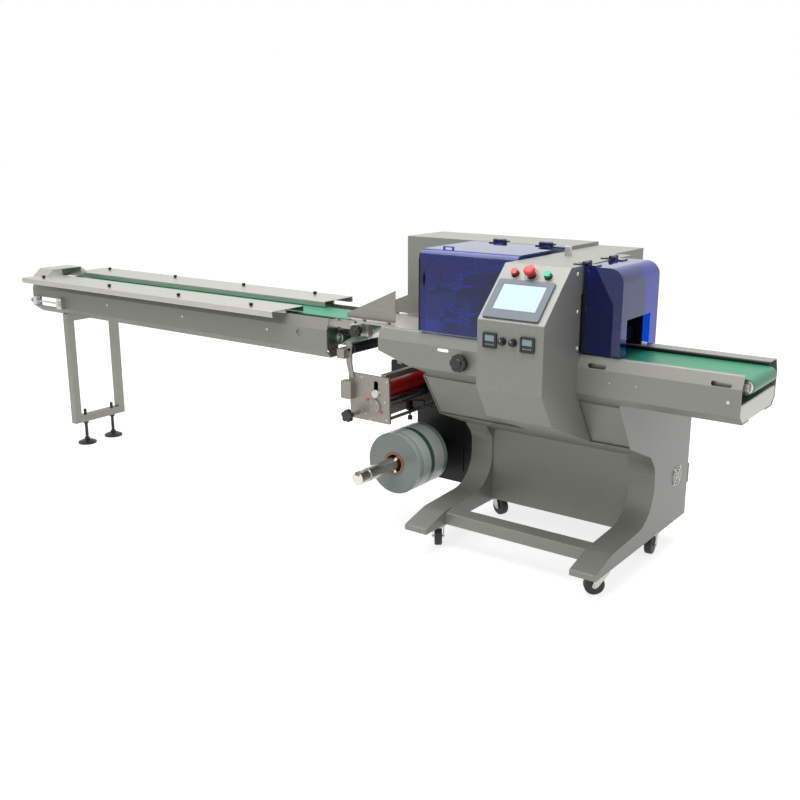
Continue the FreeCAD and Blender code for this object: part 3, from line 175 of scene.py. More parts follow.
def milled_aluminium():
    """Milled and bead-blasted aluminium plate: matt, pale, very fine grit."""
    material, tree = new_material("milled_aluminium")
    grit = grain(tree, 0.0012)
    bump = add(tree, "ShaderNodeBump", {"Height": grit.outputs["Fac"], "Strength": 0.1, "Distance": 0.0002})
    shader = add(tree, "ShaderNodeBsdfPrincipled", {
        "Base Color": linear("#97938A"), "Metallic": 0.7, "Roughness": 0.5, "Normal": bump.outputs[0]})
    return finish(material, tree, shader)


def zinc_plate():
    """Bright zinc plate with a faint spangle."""
    material, tree = new_material("zinc_plate")
    spangle = grain(tree, 0.006)
    tone = ramp(tree, spangle.outputs["Fac"], [(0.35, "#B4B3AB"), (0.65, "#CDCCC4")])
    shader = add(tree, "ShaderNodeBsdfPrincipled", {
        "Base Color": tone.outputs[0], "Metallic": 0.9, "Roughness": 0.3})
    return finish(material, tree, shader)


def tinted_acrylic():
    """Clear acrylic sheet, 5 mm, cast with a deep blue tint and polished."""
    material, tree = new_material("blue_acrylic")
    shader = add(tree, "ShaderNodeBsdfPrincipled", {
        "Base Color": linear(colours().hood), "Roughness": 0.02, "IOR": 1.49, "Transmission Weight": 0.94})
    return finish(material, tree, shader)


def black_nylon():
    """Moulded black nylon with a fine matt texture."""
    material, tree = new_material("moulded_black_nylon")
    grit = grain(tree, 0.0015)
    bump = add(tree, "ShaderNodeBump", {"Height": grit.outputs["Fac"], "Strength": 0.15, "Distance": 0.0002})
    shader = add(tree, "ShaderNodeBsdfPrincipled", {
        "Base Color": linear("#1B1C1D"), "Roughness": 0.42, "IOR": 1.53, "Normal": bump.outputs[0]})
    return finish(material, tree, shader)


def black_oxide():
    """Blackened steel: dark, with an oily sheen."""
    material, tree = new_material("black_oxide_steel")
    shader = add(tree, "ShaderNodeBsdfPrincipled", {
        "Base Color": linear("#242427"), "Metallic": 0.6, "Roughness": 0.38})
    return finish(material, tree, shader)


def slate_abs():
    """Moulded slate-grey ABS of the panel bezel."""
    material, tree = new_material("slate_abs")
    shader = add(tree, "ShaderNodeBsdfPrincipled", {
        "Base Color": linear("#56606A"), "Roughness": 0.4, "IOR": 1.53})
    return finish(material, tree, shader)


def plain_plastic(name, code, roughness):
    """Moulded plastic in one colour."""
    material, tree = new_material(name)
    shader = add(tree, "ShaderNodeBsdfPrincipled", {
        "Base Color": linear(code), "Roughness": roughness, "IOR": 1.5})
    return finish(material, tree, shader)


def belt_pu():
    """Green polyurethane belt with a faint weave of 3 mm."""
    material, tree = new_material("green_pu_belt")
    weave = grain(tree, 0.003)
    code = colours().belt
    tone = ramp(tree, weave.outputs["Fac"], [(0.3, shade(code, 0.95)), (0.7, shade(code, 1.05))])
    shader = add(tree, "ShaderNodeBsdfPrincipled", {
        "Base Color": tone.outputs[0], "Roughness": 0.38, "IOR": 1.5})
    return finish(material, tree, shader)


def red_rubber():
    """Ground red rubber with a satin sheen."""
    material, tree = new_material("ground_red_rubber")
    shader = add(tree, "ShaderNodeBsdfPrincipled", {
        "Base Color": linear(colours().red), "Roughness": 0.3, "IOR": 1.52})
    return finish(material, tree, shader)


def tyre_rubber():
    """Grey-black moulded caster tread."""
    material, tree = new_material("caster_rubber")
    shader = add(tree, "ShaderNodeBsdfPrincipled", {
        "Base Color": linear("#3A3B3C"), "Roughness": 0.55, "IOR": 1.52})
    return finish(material, tree, shader)


def screen_glass():
    """Lit display: pale blue, behind glossy glass."""
    material, tree = new_material("lit_display")
    shader = add(tree, "ShaderNodeBsdfPrincipled", {
        "Base Color": linear("#7F95AE"), "Roughness": 0.12, "IOR": 1.5,
        "Emission Color": linear("#C4DDF8"), "Emission Strength": 0.5})
    return finish(material, tree, shader)


def reel_film():
    """Wound printed film: pale clear film with green bands on the side, grey-green wound ends and
    a brown card core inside 50 mm."""
    material, tree = new_material("wound_film")
    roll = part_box("film_roll")
    centre = [(a + b) / 2 for a, b in zip(roll[0], roll[1])]
    place = add(tree, "ShaderNodeTexCoord").outputs["Object"]
    local = add(tree, "ShaderNodeVectorMath", {0: place, 1: centre}, operation="SUBTRACT").outputs[0]
    axis = add(tree, "ShaderNodeSeparateXYZ", {0: local})
    flat = add(tree, "ShaderNodeCombineXYZ", {"X": axis.outputs["X"], "Z": axis.outputs["Z"]}).outputs[0]
    radius = add(tree, "ShaderNodeVectorMath", {0: flat}, operation="LENGTH").outputs["Value"]
    side = add(tree, "ShaderNodeMapRange", {"Value": axis.outputs["Y"], "From Min": -0.1015, "From Max": 0.1015})
    bands = ramp(tree, side.outputs[0], [
        (0.0, "#B9C6BD"), (0.12, "#7F9C8B"), (0.14, "#D5DCD6"), (0.40, "#CBD6CE"),
        (0.42, "#3F6A58"), (0.52, "#4C7765"), (0.54, "#D2DAD4"), (0.86, "#C3CFC6"), (0.88, "#8AA595")])
    bands.color_ramp.interpolation = "CONSTANT"
    wind = add(tree, "ShaderNodeMath", {0: radius, 1: 900.0}, operation="MULTIPLY").outputs[0]
    wave = add(tree, "ShaderNodeMath", {0: wind}, operation="SINE").outputs[0]
    spread = add(tree, "ShaderNodeMapRange", {"Value": wave, "From Min": -1.0, "From Max": 1.0}).outputs[0]
    ends = ramp(tree, spread, [(0.0, "#6F7B76"), (1.0, "#8A958F")])
    on_side = add(tree, "ShaderNodeMath", {0: radius, 1: 0.1292}, operation="GREATER_THAN").outputs[0]
    outer = add(tree, "ShaderNodeMix", {0: on_side, 6: ends.outputs[0], 7: bands.outputs[0]}, data_type="RGBA")
    in_core = add(tree, "ShaderNodeMath", {0: radius, 1: 0.0503}, operation="LESS_THAN").outputs[0]
    tone = add(tree, "ShaderNodeMix", {0: in_core, 6: outer.outputs[2], 7: linear("#8A5E3A")}, data_type="RGBA")
    shader = add(tree, "ShaderNodeBsdfPrincipled", {
        "Base Color": tone.outputs[2], "Roughness": 0.22, "IOR": 1.5})
    return finish(material, tree, shader)


FINISHES = {
    "silver": silver_paint,
    "stainless": brushed_stainless,
    # darker copy of the brushed stainless, same grain and roughness: painted shade for the stand and the forming box
    "satin": lambda: brushed_stainless("stainless_painted_shade", "#85847D", "#98978F"),
    "steel": turned_steel,
    "aluminium": milled_aluminium,
    "zinc": zinc_plate,
    "acrylic": tinted_acrylic,
    "nylon": black_nylon,
    "oxide": black_oxide,
    "slate": slate_abs,
    "belt": belt_pu,
    "red_rubber": red_rubber,
    "tyre": tyre_rubber,
    "film": reel_film,
    "screen": screen_glass,
    "red": lambda: plain_plastic("red_button_plastic", "#E0382E", 0.3),
    "dark_red": lambda: plain_plastic("dark_red_grip", "#7A1B20", 0.4),
    "green": lambda: plain_plastic("green_button_plastic", "#1DB487", 0.3),
    "white": lambda: plain_plastic("white_plastic", "#ECEBE6", 0.4),
    "display": lambda: plain_plastic("controller_display", "#8EA3AE", 0.25),
    "brown": lambda: plain_plastic("phenolic_brown", "#5A4632", 0.45),
    "grey": lambda: plain_plastic("grey_plastic", "#8D8F90", 0.45),
    "blue_film": lambda: plain_plastic("blue_tape", "#2C5FC4", 0.4),
}

NODE_FINISH = {
    "silver": ["left_leg", "right_leg", "pedestal_cabinet", "front_skirt", "crossbar", "control_tower",
               "rear_cabinet", "front_apron", "outfeed_front_rail", "outfeed_rear_rail",
               "infeed_front_plate", "infeed_rear_plate", "infeed_side_cover"],
    "stainless": ["product_bed", "outfeed_bed", "infeed_front_cover", "infeed_rear_cover", "tail_cover"],
    # stand and forming box take the darker stainless copy, which is painted shade
    "satin": ["infeed_stand", "forming_box"],
    "steel": ["conveyor_rollers", "infeed_bed", "belt_tensioner", "film_shaft", "drive_roller"],
    "aluminium": ["film_drive_frame", "idler_arm"],
    "zinc": ["caster_plates"],
    "acrylic": ["front_hood", "end_hood"],
    "nylon": ["hood_hinges", "button_collars", "temperature_controllers", "left_selector_knob",
              "right_selector_knob", "apron_handwheel", "bed_handwheel", "stand_feet", "film_star_knob",
              "main_switch"],
    "oxide": ["film_bracket_plate", "photo_sensor", "idler_roller", "jaw_unit"],
    "slate": ["touch_screen"],
    "belt": ["outfeed_belt", "infeed_belt"],
    "red_rubber": ["red_roller"],
    "film": ["film_roll"],
    "red": ["stop_button", "emergency_stop"],
    "green": ["start_button"],
}

_made = {}


def look(key):
    """The material of that finish, made once."""
    if key not in _made:
        _made[key] = FINISHES[key]()
    return _made[key]


# ---------------------------------------------------------------- surfaces
def grid_faces(rows, columns, start=0):
    """Quads of a grid closed in its second direction, with a fan at both ends to two pole points."""
    i = np.arange(rows - 1)[:, None]
    j = np.arange(columns)[None, :]
    k = (j + 1) % columns
    quads = np.stack([i * columns + j, i * columns + k, (i + 1) * columns + k, (i + 1) * columns + j], -1)
    low, high = rows * columns, rows * columns + 1
    j = np.arange(columns)
    k = (j + 1) % columns
    bottom = np.stack([np.full(columns, low), k, j], -1)
    top = np.stack([np.full(columns, high), (rows - 1) * columns + j, (rows - 1) * columns + k], -1)
    return [*(quads.reshape(-1, 4) + start).tolist(), *(bottom + start).tolist(), *(top + start).tolist()]


def stack(rings):
    """Closed surface through rings, an array (rows, columns, 3), each end closed at its middle."""
    rows, columns = rings.shape[:2]
    points = np.concatenate([rings.reshape(-1, 3), rings[:1].mean(1), rings[-1:].mean(1)])
    return points, grid_faces(rows, columns)


def turned(profile, foot, axis, columns=24):
    """Profile of (radius, height) pairs turned about an axis from foot: p = foot + h a + r (u cos t + v sin t)."""
    a = np.array(axis, float)
    a /= np.linalg.norm(a)
    u = np.cross(a, (0.3, 0.5, 0.81))
    u /= np.linalg.norm(u)
    v = np.cross(a, u)
    t = np.linspace(0, 2 * np.pi, columns, endpoint=False)
    r = np.array([p[0] for p in profile])[:, None, None]
    h = np.array([p[1] for p in profile])[:, None, None]
    round_part = np.cos(t)[:, None] * u + np.sin(t)[:, None] * v
    return stack(np.array(foot) + h * a + r * round_part)


def bar(low, high, bevel=0.0006):
    """Box between two corners with chamfered ends: rectangle rings, drawn in at both ends."""
    low, high = np.array(low, float), np.array(high, float)
    bevel = min(bevel, (high - low).min() / 3)
    middle, half = (low + high) / 2, (high - low) / 2
    corner = np.array([(-1, -1), (1, -1), (1, 1), (-1, 1)], float)
    rings = []
    for z, inset in ((-half[2], bevel), (-half[2] + bevel, 0), (half[2] - bevel, 0), (half[2], bevel)):
        flat = corner * (half[:2] - inset)
        rings.append(np.column_stack([flat, np.full(4, z)]) + middle)
    return stack(np.array(rings))


def panel(centre, right, up, width, height, depth, radius):
    """Rounded plate: rectangle with arc corners in the plane of right and up, carried along their cross."""
    right, up = np.array(right, float), np.array(up, float)
    right /= np.linalg.norm(right)
    up /= np.linalg.norm(up)
    out = np.cross(right, up)
    t = np.linspace(0, np.pi / 2, 5)
    rings = []
    bevel = min(depth / 3, 0.0006)
    for rise, inset in ((0, 0), (depth - bevel, 0), (depth, bevel)):
        corners = []
        for k in range(4):
            sx, sy = ((1, 1), (-1, 1), (-1, -1), (1, -1))[k]
            angle = t + k * np.pi / 2
            corners.append(np.column_stack([
                sx * (width / 2 - radius) + (radius - inset) * np.cos(angle),
                sy * (height / 2 - radius) + (radius - inset) * np.sin(angle)]))
        flat = np.concatenate(corners)
        rings.append(np.array(centre) + flat[:, :1] * right + flat[:, 1:] * up + rise * out)
    return stack(np.array(rings))


def wire(points, radius, steps=12, columns=10):
    """Round wire along a smooth path: Catmull-Rom curve through the points, with a circle carried along it."""
    p = np.array(points, float)
    p = np.concatenate([2 * p[:1] - p[1:2], p, 2 * p[-1:] - p[-2:-1]])
    s = np.linspace(0, 1, steps, endpoint=False)[:, None]
    parts = []
    for i in range(1, len(p) - 2):
        a, b, c, d = p[i - 1], p[i], p[i + 1], p[i + 2]
        parts.append(0.5 * (2 * b + (c - a) * s + (2 * a - 5 * b + 4 * c - d) * s ** 2
                            + (3 * b - a - 3 * c + d) * s ** 3))
    path = np.concatenate(parts + [p[-2:-1]])
    along = np.gradient(path, axis=0)
    along /= np.linalg.norm(along, axis=1)[:, None]
    side = np.cross(along, (0.12, 0.31, 0.94))
    side /= np.linalg.norm(side, axis=1)[:, None]
    lift = np.cross(along, side)
    t = np.linspace(0, 2 * np.pi, columns, endpoint=False)
    rings = path[:, None] + radius * (np.cos(t)[None, :, None] * side[:, None]
                                      + np.sin(t)[None, :, None] * lift[:, None])
    return stack(rings)


def hoop(centre, axis, radius, thick, columns=48):
    """Torus: a small circle carried round a large one."""
    a = np.array(axis, float)
    a /= np.linalg.norm(a)
    u = np.cross(a, (0.3, 0.5, 0.81))
    u /= np.linalg.norm(u)
    v = np.cross(a, u)
    t = np.linspace(0, 2 * np.pi, columns, endpoint=False)[:, None, None]
    s = np.linspace(0, 2 * np.pi, 10, endpoint=False)[None, :, None]
    out = np.cos(t) * u + np.sin(t) * v
    points = (np.array(centre) + (radius + thick * np.cos(s)) * out + thick * np.sin(s) * a).reshape(-1, 3)
    i = np.arange(columns)[:, None]
    j = np.arange(10)[None, :]
    k, m = (j + 1) % 10, (i + 1) % columns
    faces = np.stack([i * 10 + j, m * 10 + j, m * 10 + k, i * 10 + k], -1).reshape(-1, 4)
    return points, faces[:, ::-1].tolist()


def make(name, surfaces, key, body="frame", smooth=False):
    """One object of several closed surfaces, with its place in its mesh, riding on a body."""
    points, faces, start = [], [], 0
    for part_points, part_faces in surfaces:
        points.append(part_points)
        faces += [[i + start for i in face] for face in part_faces]
        start += len(part_points)
    mesh = bpy.data.meshes.new(name)
    mesh.from_pydata(np.concatenate(points).tolist(), [], faces)
    mesh.materials.append(look(key))
    mesh.update()
    if smooth:
        mesh.shade_smooth()
    thing = bpy.data.objects.new(name, mesh)
    bpy.context.scene.collection.objects.link(thing)
    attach(thing, body)
    return thing


def screw_head(place, axis, radius):
    """Pan-head screw: a low dome with a flat rim."""
    r = radius
    return turned([(r, 0), (r, 0.25 * r), (0.85 * r, 0.55 * r), (0.35 * r, 0.62 * r), (0.28 * r, 0.35 * r)],
                  place, axis, 14)


# ---------------------------------------------------------------- places read from the frame
def face(node, axis, side):
    """Coordinate of a node's outermost face: axis 0, 1 or 2, side 0 low or 1 high."""
    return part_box(node)[side][axis]


def slant():
    """Upward and outward directions of the tower's slanted panel."""
    return np.array([0, 0.7132, 0.7009]), np.array([0, -0.7009, 0.7132])


# ---------------------------------------------------------------- operators
class WRAPPER_OT_finishes(bpy.types.Operator):
    """Gives every construction piece its finish"""
    bl_idname = "wrapper.finishes"
    bl_label = "Finishes"

    def execute(self, context):
        done = set()
        for key, nodes in NODE_FINISH.items():
            for name in nodes:
                set_finish(name, key)
                done.add(name)
        for corner in ("front_left", "front_right", "rear_left", "rear_right"):
            set_finish(corner + "_fork", "zinc")
            set_finish(corner + "_wheel", "tyre")
            done |= {corner + "_fork", corner + "_wheel"}
        missing = set(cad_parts) - done
        if missing:
            raise RuntimeError("no finish for " + ", ".join(sorted(missing)))
        return {"FINISHED"}


def set_finish(name, key):
    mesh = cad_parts[name].data
    mesh.materials.clear()
    mesh.materials.append(look(key))


class WRAPPER_OT_cover_screws(bpy.types.Operator):
    """Knurled screws along both top covers, and the bolts of the side panel"""
    bl_idname = "wrapper.cover_screws"
    bl_label = "Cover screws"

    def execute(self, context):
        radius = sizes().wing
        surfaces = []
        for node, y in (("infeed_front_cover", -0.252), ("infeed_rear_cover", 0.164)):
            low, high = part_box(node)
            for share in (0.06, 0.36, 0.64, 0.90):
                x = low[0] + share * (high[0] - low[0])
                surfaces.append(turned([(radius * 0.7, 0), (radius * 0.7, 0.003), (radius, 0.004),
                                        (radius, 0.012), (radius * 0.7, 0.014)], (x, y, high[2]), (0, 0, 1), 12))
        make("cover_screws", surfaces, "oxide")
        y = face("infeed_front_plate", 1, 0) - 0.0002
        bolts = [screw_head((x, y, 0.806), (0, -1, 0), sizes().screw) for x in (-1.27, -0.72, -0.18)]
        make("side_panel_bolts", bolts, "steel")
        return {"FINISHED"}


class WRAPPER_OT_body_screws(bpy.types.Operator):
    """Screws of the tower, the discharge channel, the film drive plate and the hinges"""
    bl_idname = "wrapper.body_screws"
    bl_label = "Body screws"

    def execute(self, context):
        r = sizes().screw
        surfaces = []
        x = face("control_tower", 0, 1)
        for y, z in ((-0.253, 1.160), (-0.244, 1.033), (-0.234, 0.905)):
            surfaces.append(screw_head((x, y, z), (1, 0, 0), r * 1.2))
        y = face("outfeed_front_rail", 1, 0)
        for x, z, size in ((1.421, 0.798, 0.5), (1.518, 0.800, 0.5), (1.828, 0.794, 1.1)):
            surfaces.append(screw_head((x, y, z), (0, -1, 0), r * size))
        crown = face("control_tower", 2, 1)
        surfaces.append(bar((1.114, 0.005, crown), (1.135, 0.020, crown + 0.036)))
        y = -0.170
        for x, z in ((0.244, 0.486), (0.428, 0.486), (0.430, 0.648), (0.300, 0.650), (0.395, 0.600),
                     (0.420, 0.560), (0.320, 0.500), (0.345, 0.475)):
            surfaces.append(screw_head((x, y, z), (0, -1, 0), r * 0.8))
        for dx, dz in ((-1, -1), (1, -1), (1, 1), (-1, 1)):
            surfaces.append(screw_head((0.367 + 0.014 * dx, -0.176, 0.537 + 0.014 * dz), (0, -1, 0), r * 0.6))
        make("body_screws", surfaces, "steel")
        leaf = []
        top = 1.204
        for hinge_x in (0.735, 0.943):
            for dx in (-0.014, 0.014):
                leaf.append(screw_head((hinge_x + dx, 0.205, top), (0, 0, 1), r * 0.7))
        for hinge_y in (-0.188, 0.022):
            for dy in (-0.014, 0.014):
                leaf.append(screw_head((1.272, hinge_y + dy, 1.190), (0, 0, 1), r * 0.7))
        make("hinge_screws", leaf, "steel")
        return {"FINISHED"}


class WRAPPER_OT_panel_faces(bpy.types.Operator):
    """Display, controller faces, pointer marks and the ring round the emergency stop"""
    bl_idname = "wrapper.panel_faces"
    bl_label = "Panel faces"

    def execute(self, context):
        up, out = slant()
        right = np.array([1, 0, 0])
        base = np.array([1.166, -0.476, 1.014])
        place = base + up * 0.100 + out * 0.0052
        make("display", [panel(place, right, up, 0.162, 0.105, 0.001, 0.001)], "screen")
        seat = base + up * 0.202 + out * 0.0006 + right * 0.002
        make("stop_seat_ring", [hoop(seat, out, 0.0240, 0.0015)], "grey")
        self.controllers()
        self.pointers()
        return {"FINISHED"}

    def controllers(self):
        """A display window and four small keys on each controller."""
        y = -0.476 - 0.0061
        windows, keys = [], []
        for x in (1.098, 1.241):
            windows.append(panel((x, y, 0.956), (1, 0, 0), (0, 0, 1), 0.036, 0.020, 0.0006, 0.001))
            for i in range(4):
                keys.append(panel((x - 0.0135 + 0.009 * i, y, 0.934), (1, 0, 0), (0, 0, 1),
                                  0.006, 0.004, 0.001, 0.001))
        make("controller_windows", windows, "display")
        make("controller_keys", keys, "grey")

    def pointers(self):
        for side, x in (("left", 1.146), ("right", 1.187)):
            y = face(side + "_selector_knob", 1, 0)
            mark = bar((x - 0.001, y - 0.0006, 0.951), (x + 0.001, y + 0.001, 0.958))
            make(side + "_pointer", [mark], "white", side + "_selector_knob")


class WRAPPER_OT_edge_trims(bpy.types.Operator):
    """Black gaskets and strips along the hoods, the tower and the discharge rail"""
    bl_idname = "wrapper.edge_trims"
    bl_label = "Edge trims"

    def execute(self, context):
        w = sizes().trim
        x = face("control_tower", 0, 1)
        strips = [bar((x, -0.222, 0.885), (x + 0.0045, -0.222 + w, 1.090)),
                  bar((1.300, 0.047, 0.866), (1.866, 0.0505, 0.8775))]
        make("tower_gasket", strips, "oxide")
        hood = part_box("front_hood")
        z0 = hood[0][2]
        left = [bar((hood[0][0] - 0.001, hood[0][1] - 0.0012, z0), (hood[0][0] + 0.004, hood[0][1], 1.165))]
        make("front_hood_trim", left, "oxide", "front_hood")
        low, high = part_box("end_hood")
        edge = 1.306
        make("end_hood_trim", [bar((edge - 0.0008, low[1] - 0.0012, z0), (edge + 0.006, low[1], 1.178))],
             "oxide", "end_hood")
        return {"FINISHED"}


class WRAPPER_OT_forming_gear(bpy.types.Operator):
    """The film forming head and sealing wheels under the front hood"""
    bl_idname = "wrapper.forming_gear"
    bl_label = "Forming gear"

    def execute(self, context):
        dark, bright, chrome = [], [], []
        dark.append(hoop((0.640, -0.160, 1.090), (1, 0, 0), 0.060, 0.0045))
        dark.append(bar((0.636, -0.125, 1.020), (0.644, 0.180, 1.035)))
        dark.append(bar((0.710, -0.060, 1.000), (0.810, 0.040, 1.090)))
        dark.append(turned([(0.032, 0), (0.032, 0.014)], (0.770, -0.060, 1.045), (0, -1, 0), 32))
        dark.append(bar((0.690, 0.040, 0.884), (1.020, 0.130, 1.080)))
        dark.append(bar((0.860, -0.050, 0.940), (0.900, 0.040, 1.120)))
        dark.append(turned([(0.024, 0), (0.024, 0.050)], (0.740, -0.060, 1.022), (0, -1, 0), 28))
        bright.append(bar((0.800, -0.060, 1.120), (0.950, 0.060, 1.128)))
        bright.append(bar((0.660, -0.110, 0.965), (0.715, -0.040, 0.975)))
        bright.append(bar((0.660, -0.130, 0.912), (0.800, -0.120, 0.932)))
        bright.append(bar((0.660, -0.130, 0.884), (0.680, -0.040, 0.965)))
        bright.append(bar((0.690, -0.080, 1.090), (0.760, 0.060, 1.096)))
        chrome.append(turned([(0.006, 0), (0.006, 0.130)], (0.700, -0.070, 0.965), (0, 0, 1), 14))
        chrome.append(turned([(0.006, 0), (0.006, 0.150)], (0.665, -0.100, 1.040), (0.9, 0.25, 0.12), 14))
        chrome.append(wire([(0.694, -0.120, 0.962), (0.740, -0.126, 0.956), (0.800, -0.124, 0.954),
                            (0.824, -0.105, 0.962), (0.862, -0.045, 0.975)], 0.0045))
        for x, y, z in ((0.690, -0.130, 0.922), (0.770, -0.130, 0.922), (0.722, -0.074, 1.080),
                        (0.798, -0.060, 1.078), (0.798, -0.060, 1.012), (0.880, -0.050, 1.100),
                        (0.880, -0.050, 0.960)):
            chrome.append(screw_head((x, y, z), (0, -1, 0), 0.005))
        for y, z in ((-0.160, 1.150), (-0.107, 1.060), (-0.160, 1.030)):
            chrome.append(screw_head((0.6355, y, z), (-1, 0, 0), 0.005))
        grip = turned([(0.011, 0), (0.013, 0.006), (0.012, 0.040), (0.009, 0.046)],
                      (0.626, -0.111, 1.035), (0.9, 0.25, 0.12), 20)
        make("forming_head", dark, "oxide")
        make("forming_lever_grip", [grip], "dark_red")
        make("forming_rods", chrome, "steel", smooth=True)
        make("forming_plates", bright, "stainless")
        return {"FINISHED"}


class WRAPPER_OT_film_fittings(bpy.types.Operator):
    """Lever, tension marks, idler ring and the cap of the apron handwheel knob"""
    bl_idname = "wrapper.film_fittings"
    bl_label = "Film fittings"

    def execute(self, context):
        y = -0.170
        lever = [panel((0.373, y, 0.612), (-1, 0, 0), (0, 0, 1), 0.022, 0.060, 0.008, 0.008)]
        lever.append(turned([(0.016, 0), (0.016, 0.010)], (0.373, y, 0.590), (0, -1, 0), 24))
        make("release_lever", lever, "white")
        dots = [turned([(0.006, 0), (0.006, 0.004)], (x, y, z), (0, -1, 0), 16)
                for x, z in ((0.330, 0.560), (0.400, 0.515))]
        make("adjusting_dots", dots, "red")
        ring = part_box("idler_roller")
        x, z = (ring[0][0] + ring[1][0]) / 2, (ring[0][2] + ring[1][2]) / 2
        make("idler_ring", [hoop((x, ring[0][1] + 0.014, z), (0, 1, 0), 0.0205, 0.0015)], "blue_film", "idler_roller")
        make("apron_knob_cap", [hoop((0.827, -0.2612, 0.792), (0, 1, 0), 0.011, 0.0015)],
             "white", "apron_handwheel")
        return {"FINISHED"}


class WRAPPER_OT_finger_guard(bpy.types.Operator):
    """Wire finger guard over the fan opening of the right leg"""
    bl_idname = "wrapper.finger_guard"
    bl_label = "Finger guard"

    def execute(self, context):
        x = face("right_leg", 0, 1) + 0.003
        centre = np.array([x, 0.387, 0.304])
        surfaces = [hoop(centre, (1, 0, 0), r, 0.0014, 32) for r in (0.014, 0.026, 0.038)]
        for i in range(4):
            t = math.pi / 4 + i * math.pi / 2
            end = centre + np.array([0, math.cos(t), math.sin(t)]) * 0.046
            surfaces.append(wire([centre, (centre + end) / 2, end], 0.0015, 4, 8))
            surfaces.append(screw_head(end - np.array([0.003, 0, 0]), (1, 0, 0), 0.004))
        make("finger_guard", surfaces, "steel", smooth=True)
        return {"FINISHED"}


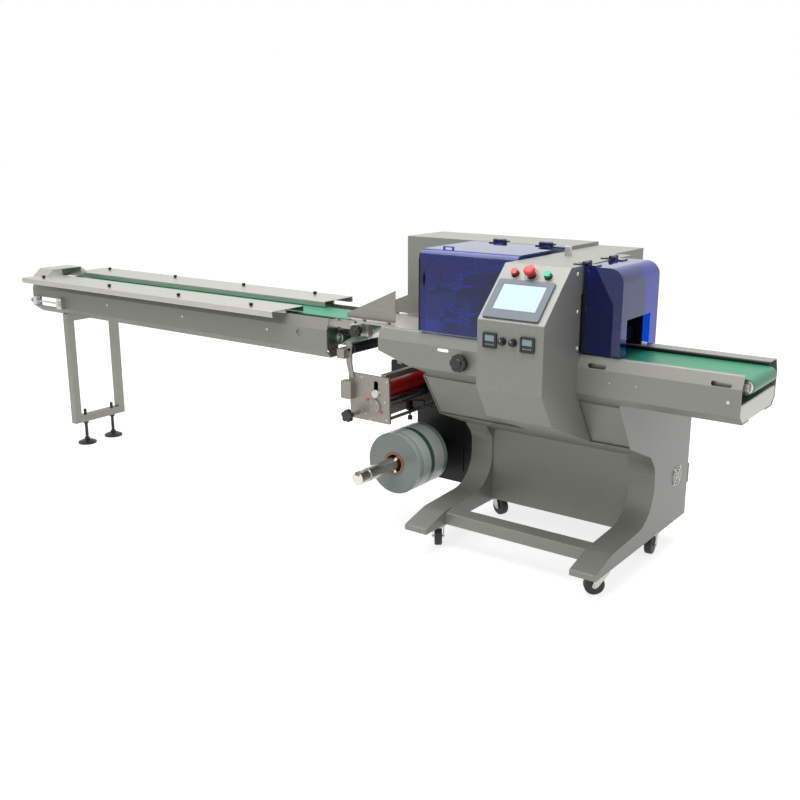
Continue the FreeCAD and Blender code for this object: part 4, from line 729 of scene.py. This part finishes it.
class WRAPPER_OT_stage(bpy.types.Operator):
    """Pale floor, soft studio light and the camera"""
    bl_idname = "wrapper.stage"
    bl_label = "Stage"

    def execute(self, context):
        self.floor()
        self.world()
        self.lamps()
        self.camera()
        context.scene.view_settings.view_transform = "Standard"
        return {"FINISHED"}

    def floor(self):
        """Flat square, white to the camera apart from the object's shadow."""
        mesh = bpy.data.meshes.new("floor")
        s = 60.0
        mesh.from_pydata([(-s, -s, 0), (s, -s, 0), (s, s, 0), (-s, s, 0)], [], [(0, 1, 2, 3)])
        material, tree = new_material("studio_floor")
        pale = add(tree, "ShaderNodeBsdfDiffuse", {"Color": linear("#BDBDBD")})
        seen = background_ray(tree)
        glow = add(tree, "ShaderNodeEmission", {"Color": (1, 1, 1, 1), "Strength": 0.76})
        both = add(tree, "ShaderNodeAddShader", {0: pale.outputs[0], 1: glow.outputs[0]})
        mixed = add(tree, "ShaderNodeMixShader", {0: seen, 1: pale.outputs[0], 2: both.outputs[0]})
        finish(material, tree, mixed)
        mesh.materials.append(material)
        floor = bpy.data.objects.new("floor", mesh)
        bpy.context.scene.collection.objects.link(floor)

    def world(self):
        world = bpy.data.worlds.new("studio")
        world.use_nodes = True
        tree = world.node_tree
        tree.nodes.clear()
        seen = background_ray(tree)
        way = add(tree, "ShaderNodeTexCoord").outputs["Generated"]
        height = add(tree, "ShaderNodeSeparateXYZ", {0: way}).outputs["Z"]
        glow = add(tree, "ShaderNodeMapRange", {"Value": height, "From Min": -0.1, "To Min": 0.06, "To Max": 0.70})
        soft = add(tree, "ShaderNodeBackground", {"Color": (1, 1, 1, 1), "Strength": glow.outputs[0]})
        white = add(tree, "ShaderNodeBackground", {"Color": (1, 1, 1, 1), "Strength": 1.0})
        mixed = add(tree, "ShaderNodeMixShader", {0: seen, 1: soft.outputs[0], 2: white.outputs[0]})
        add(tree, "ShaderNodeOutputWorld", {"Surface": mixed.outputs[0]})
        bpy.context.scene.world = world

    def lamps(self):
        """A large key lamp above the operator side, a fill from the right and a large lamp overhead."""
        for name, place, aim, size, watts in (
                ("key", (1.4, -4.2, 4.4), (0.6, 0, 0.7), 3.0, 62),
                ("fill", (5.0, -1.0, 3.0), (0.8, 0, 0.6), 3.0, 12),
                ("top", (0.2, -0.2, 4.6), (0.2, 0, 0.6), 4.5, 230)):
            lamp = bpy.data.lights.new(name, "AREA")
            lamp.energy = watts
            lamp.size = size
            thing = bpy.data.objects.new(name, lamp)
            thing.location = place
            run = np.array(aim) - np.array(place)
            flat = math.hypot(run[0], run[1])
            thing.rotation_euler = (math.pi / 2 - math.atan2(-run[2], flat), 0, math.atan2(-run[0], run[1]))
            bpy.context.scene.collection.objects.link(thing)

    def camera(self):
        lens = bpy.data.cameras.new("camera")
        lens.lens = 44.655
        lens.sensor_width = 36.0
        eye = bpy.data.objects.new("camera", lens)
        eye.location = (2.7991, -3.2788, 1.595)
        eye.rotation_euler = (math.radians(90 - 14.665), 0, math.radians(36.542))
        bpy.context.scene.collection.objects.link(eye)
        bpy.context.scene.camera = eye


def background_ray(tree):
    """1 where a ray that shows the background arrives: from the camera, a mirror or through glass."""
    ray = add(tree, "ShaderNodeLightPath")
    some = add(tree, "ShaderNodeMath", {0: ray.outputs["Is Camera Ray"], 1: ray.outputs["Is Glossy Ray"]},
               operation="ADD")
    every = add(tree, "ShaderNodeMath", {0: some.outputs[0], 1: ray.outputs["Is Transmission Ray"]},
                operation="ADD", use_clamp=True)
    return every.outputs[0]


OPERATORS = [
    WRAPPER_OT_finishes,
    WRAPPER_OT_cover_screws,
    WRAPPER_OT_body_screws,
    WRAPPER_OT_panel_faces,
    WRAPPER_OT_edge_trims,
    WRAPPER_OT_forming_gear,
    WRAPPER_OT_film_fittings,
    WRAPPER_OT_finger_guard,
    WRAPPER_OT_stage,
]


class WRAPPER_PT_panel(bpy.types.Panel):
    """Lists the wrapper's pieces"""
    bl_idname = "WRAPPER_PT_panel"
    bl_label = "Flow wrapper"
    bl_space_type = "VIEW_3D"
    bl_region_type = "UI"
    bl_category = "Wrapper"

    def draw(self, context):
        for operator in OPERATORS:
            self.layout.operator(operator.bl_idname)
        for group in (context.scene.wrapper_colours, context.scene.wrapper_sizes):
            for name in group.bl_rna.properties.keys()[2:]:
                self.layout.prop(group, name)


CLASSES = [WrapperColours, WrapperSizes, *OPERATORS, WRAPPER_PT_panel]


def register():
    for item in CLASSES:
        bpy.utils.register_class(item)
    bpy.types.Scene.wrapper_colours = bpy.props.PointerProperty(type=WrapperColours)
    bpy.types.Scene.wrapper_sizes = bpy.props.PointerProperty(type=WrapperSizes)


def unregister():
    del bpy.types.Scene.wrapper_sizes
    del bpy.types.Scene.wrapper_colours
    for item in reversed(CLASSES):
        bpy.utils.unregister_class(item)


def main():
    register()
    for operator in OPERATORS:
        group, name = operator.bl_idname.split(".")
        getattr(getattr(bpy.ops, group), name)()


if __name__ == "__main__":
    main()
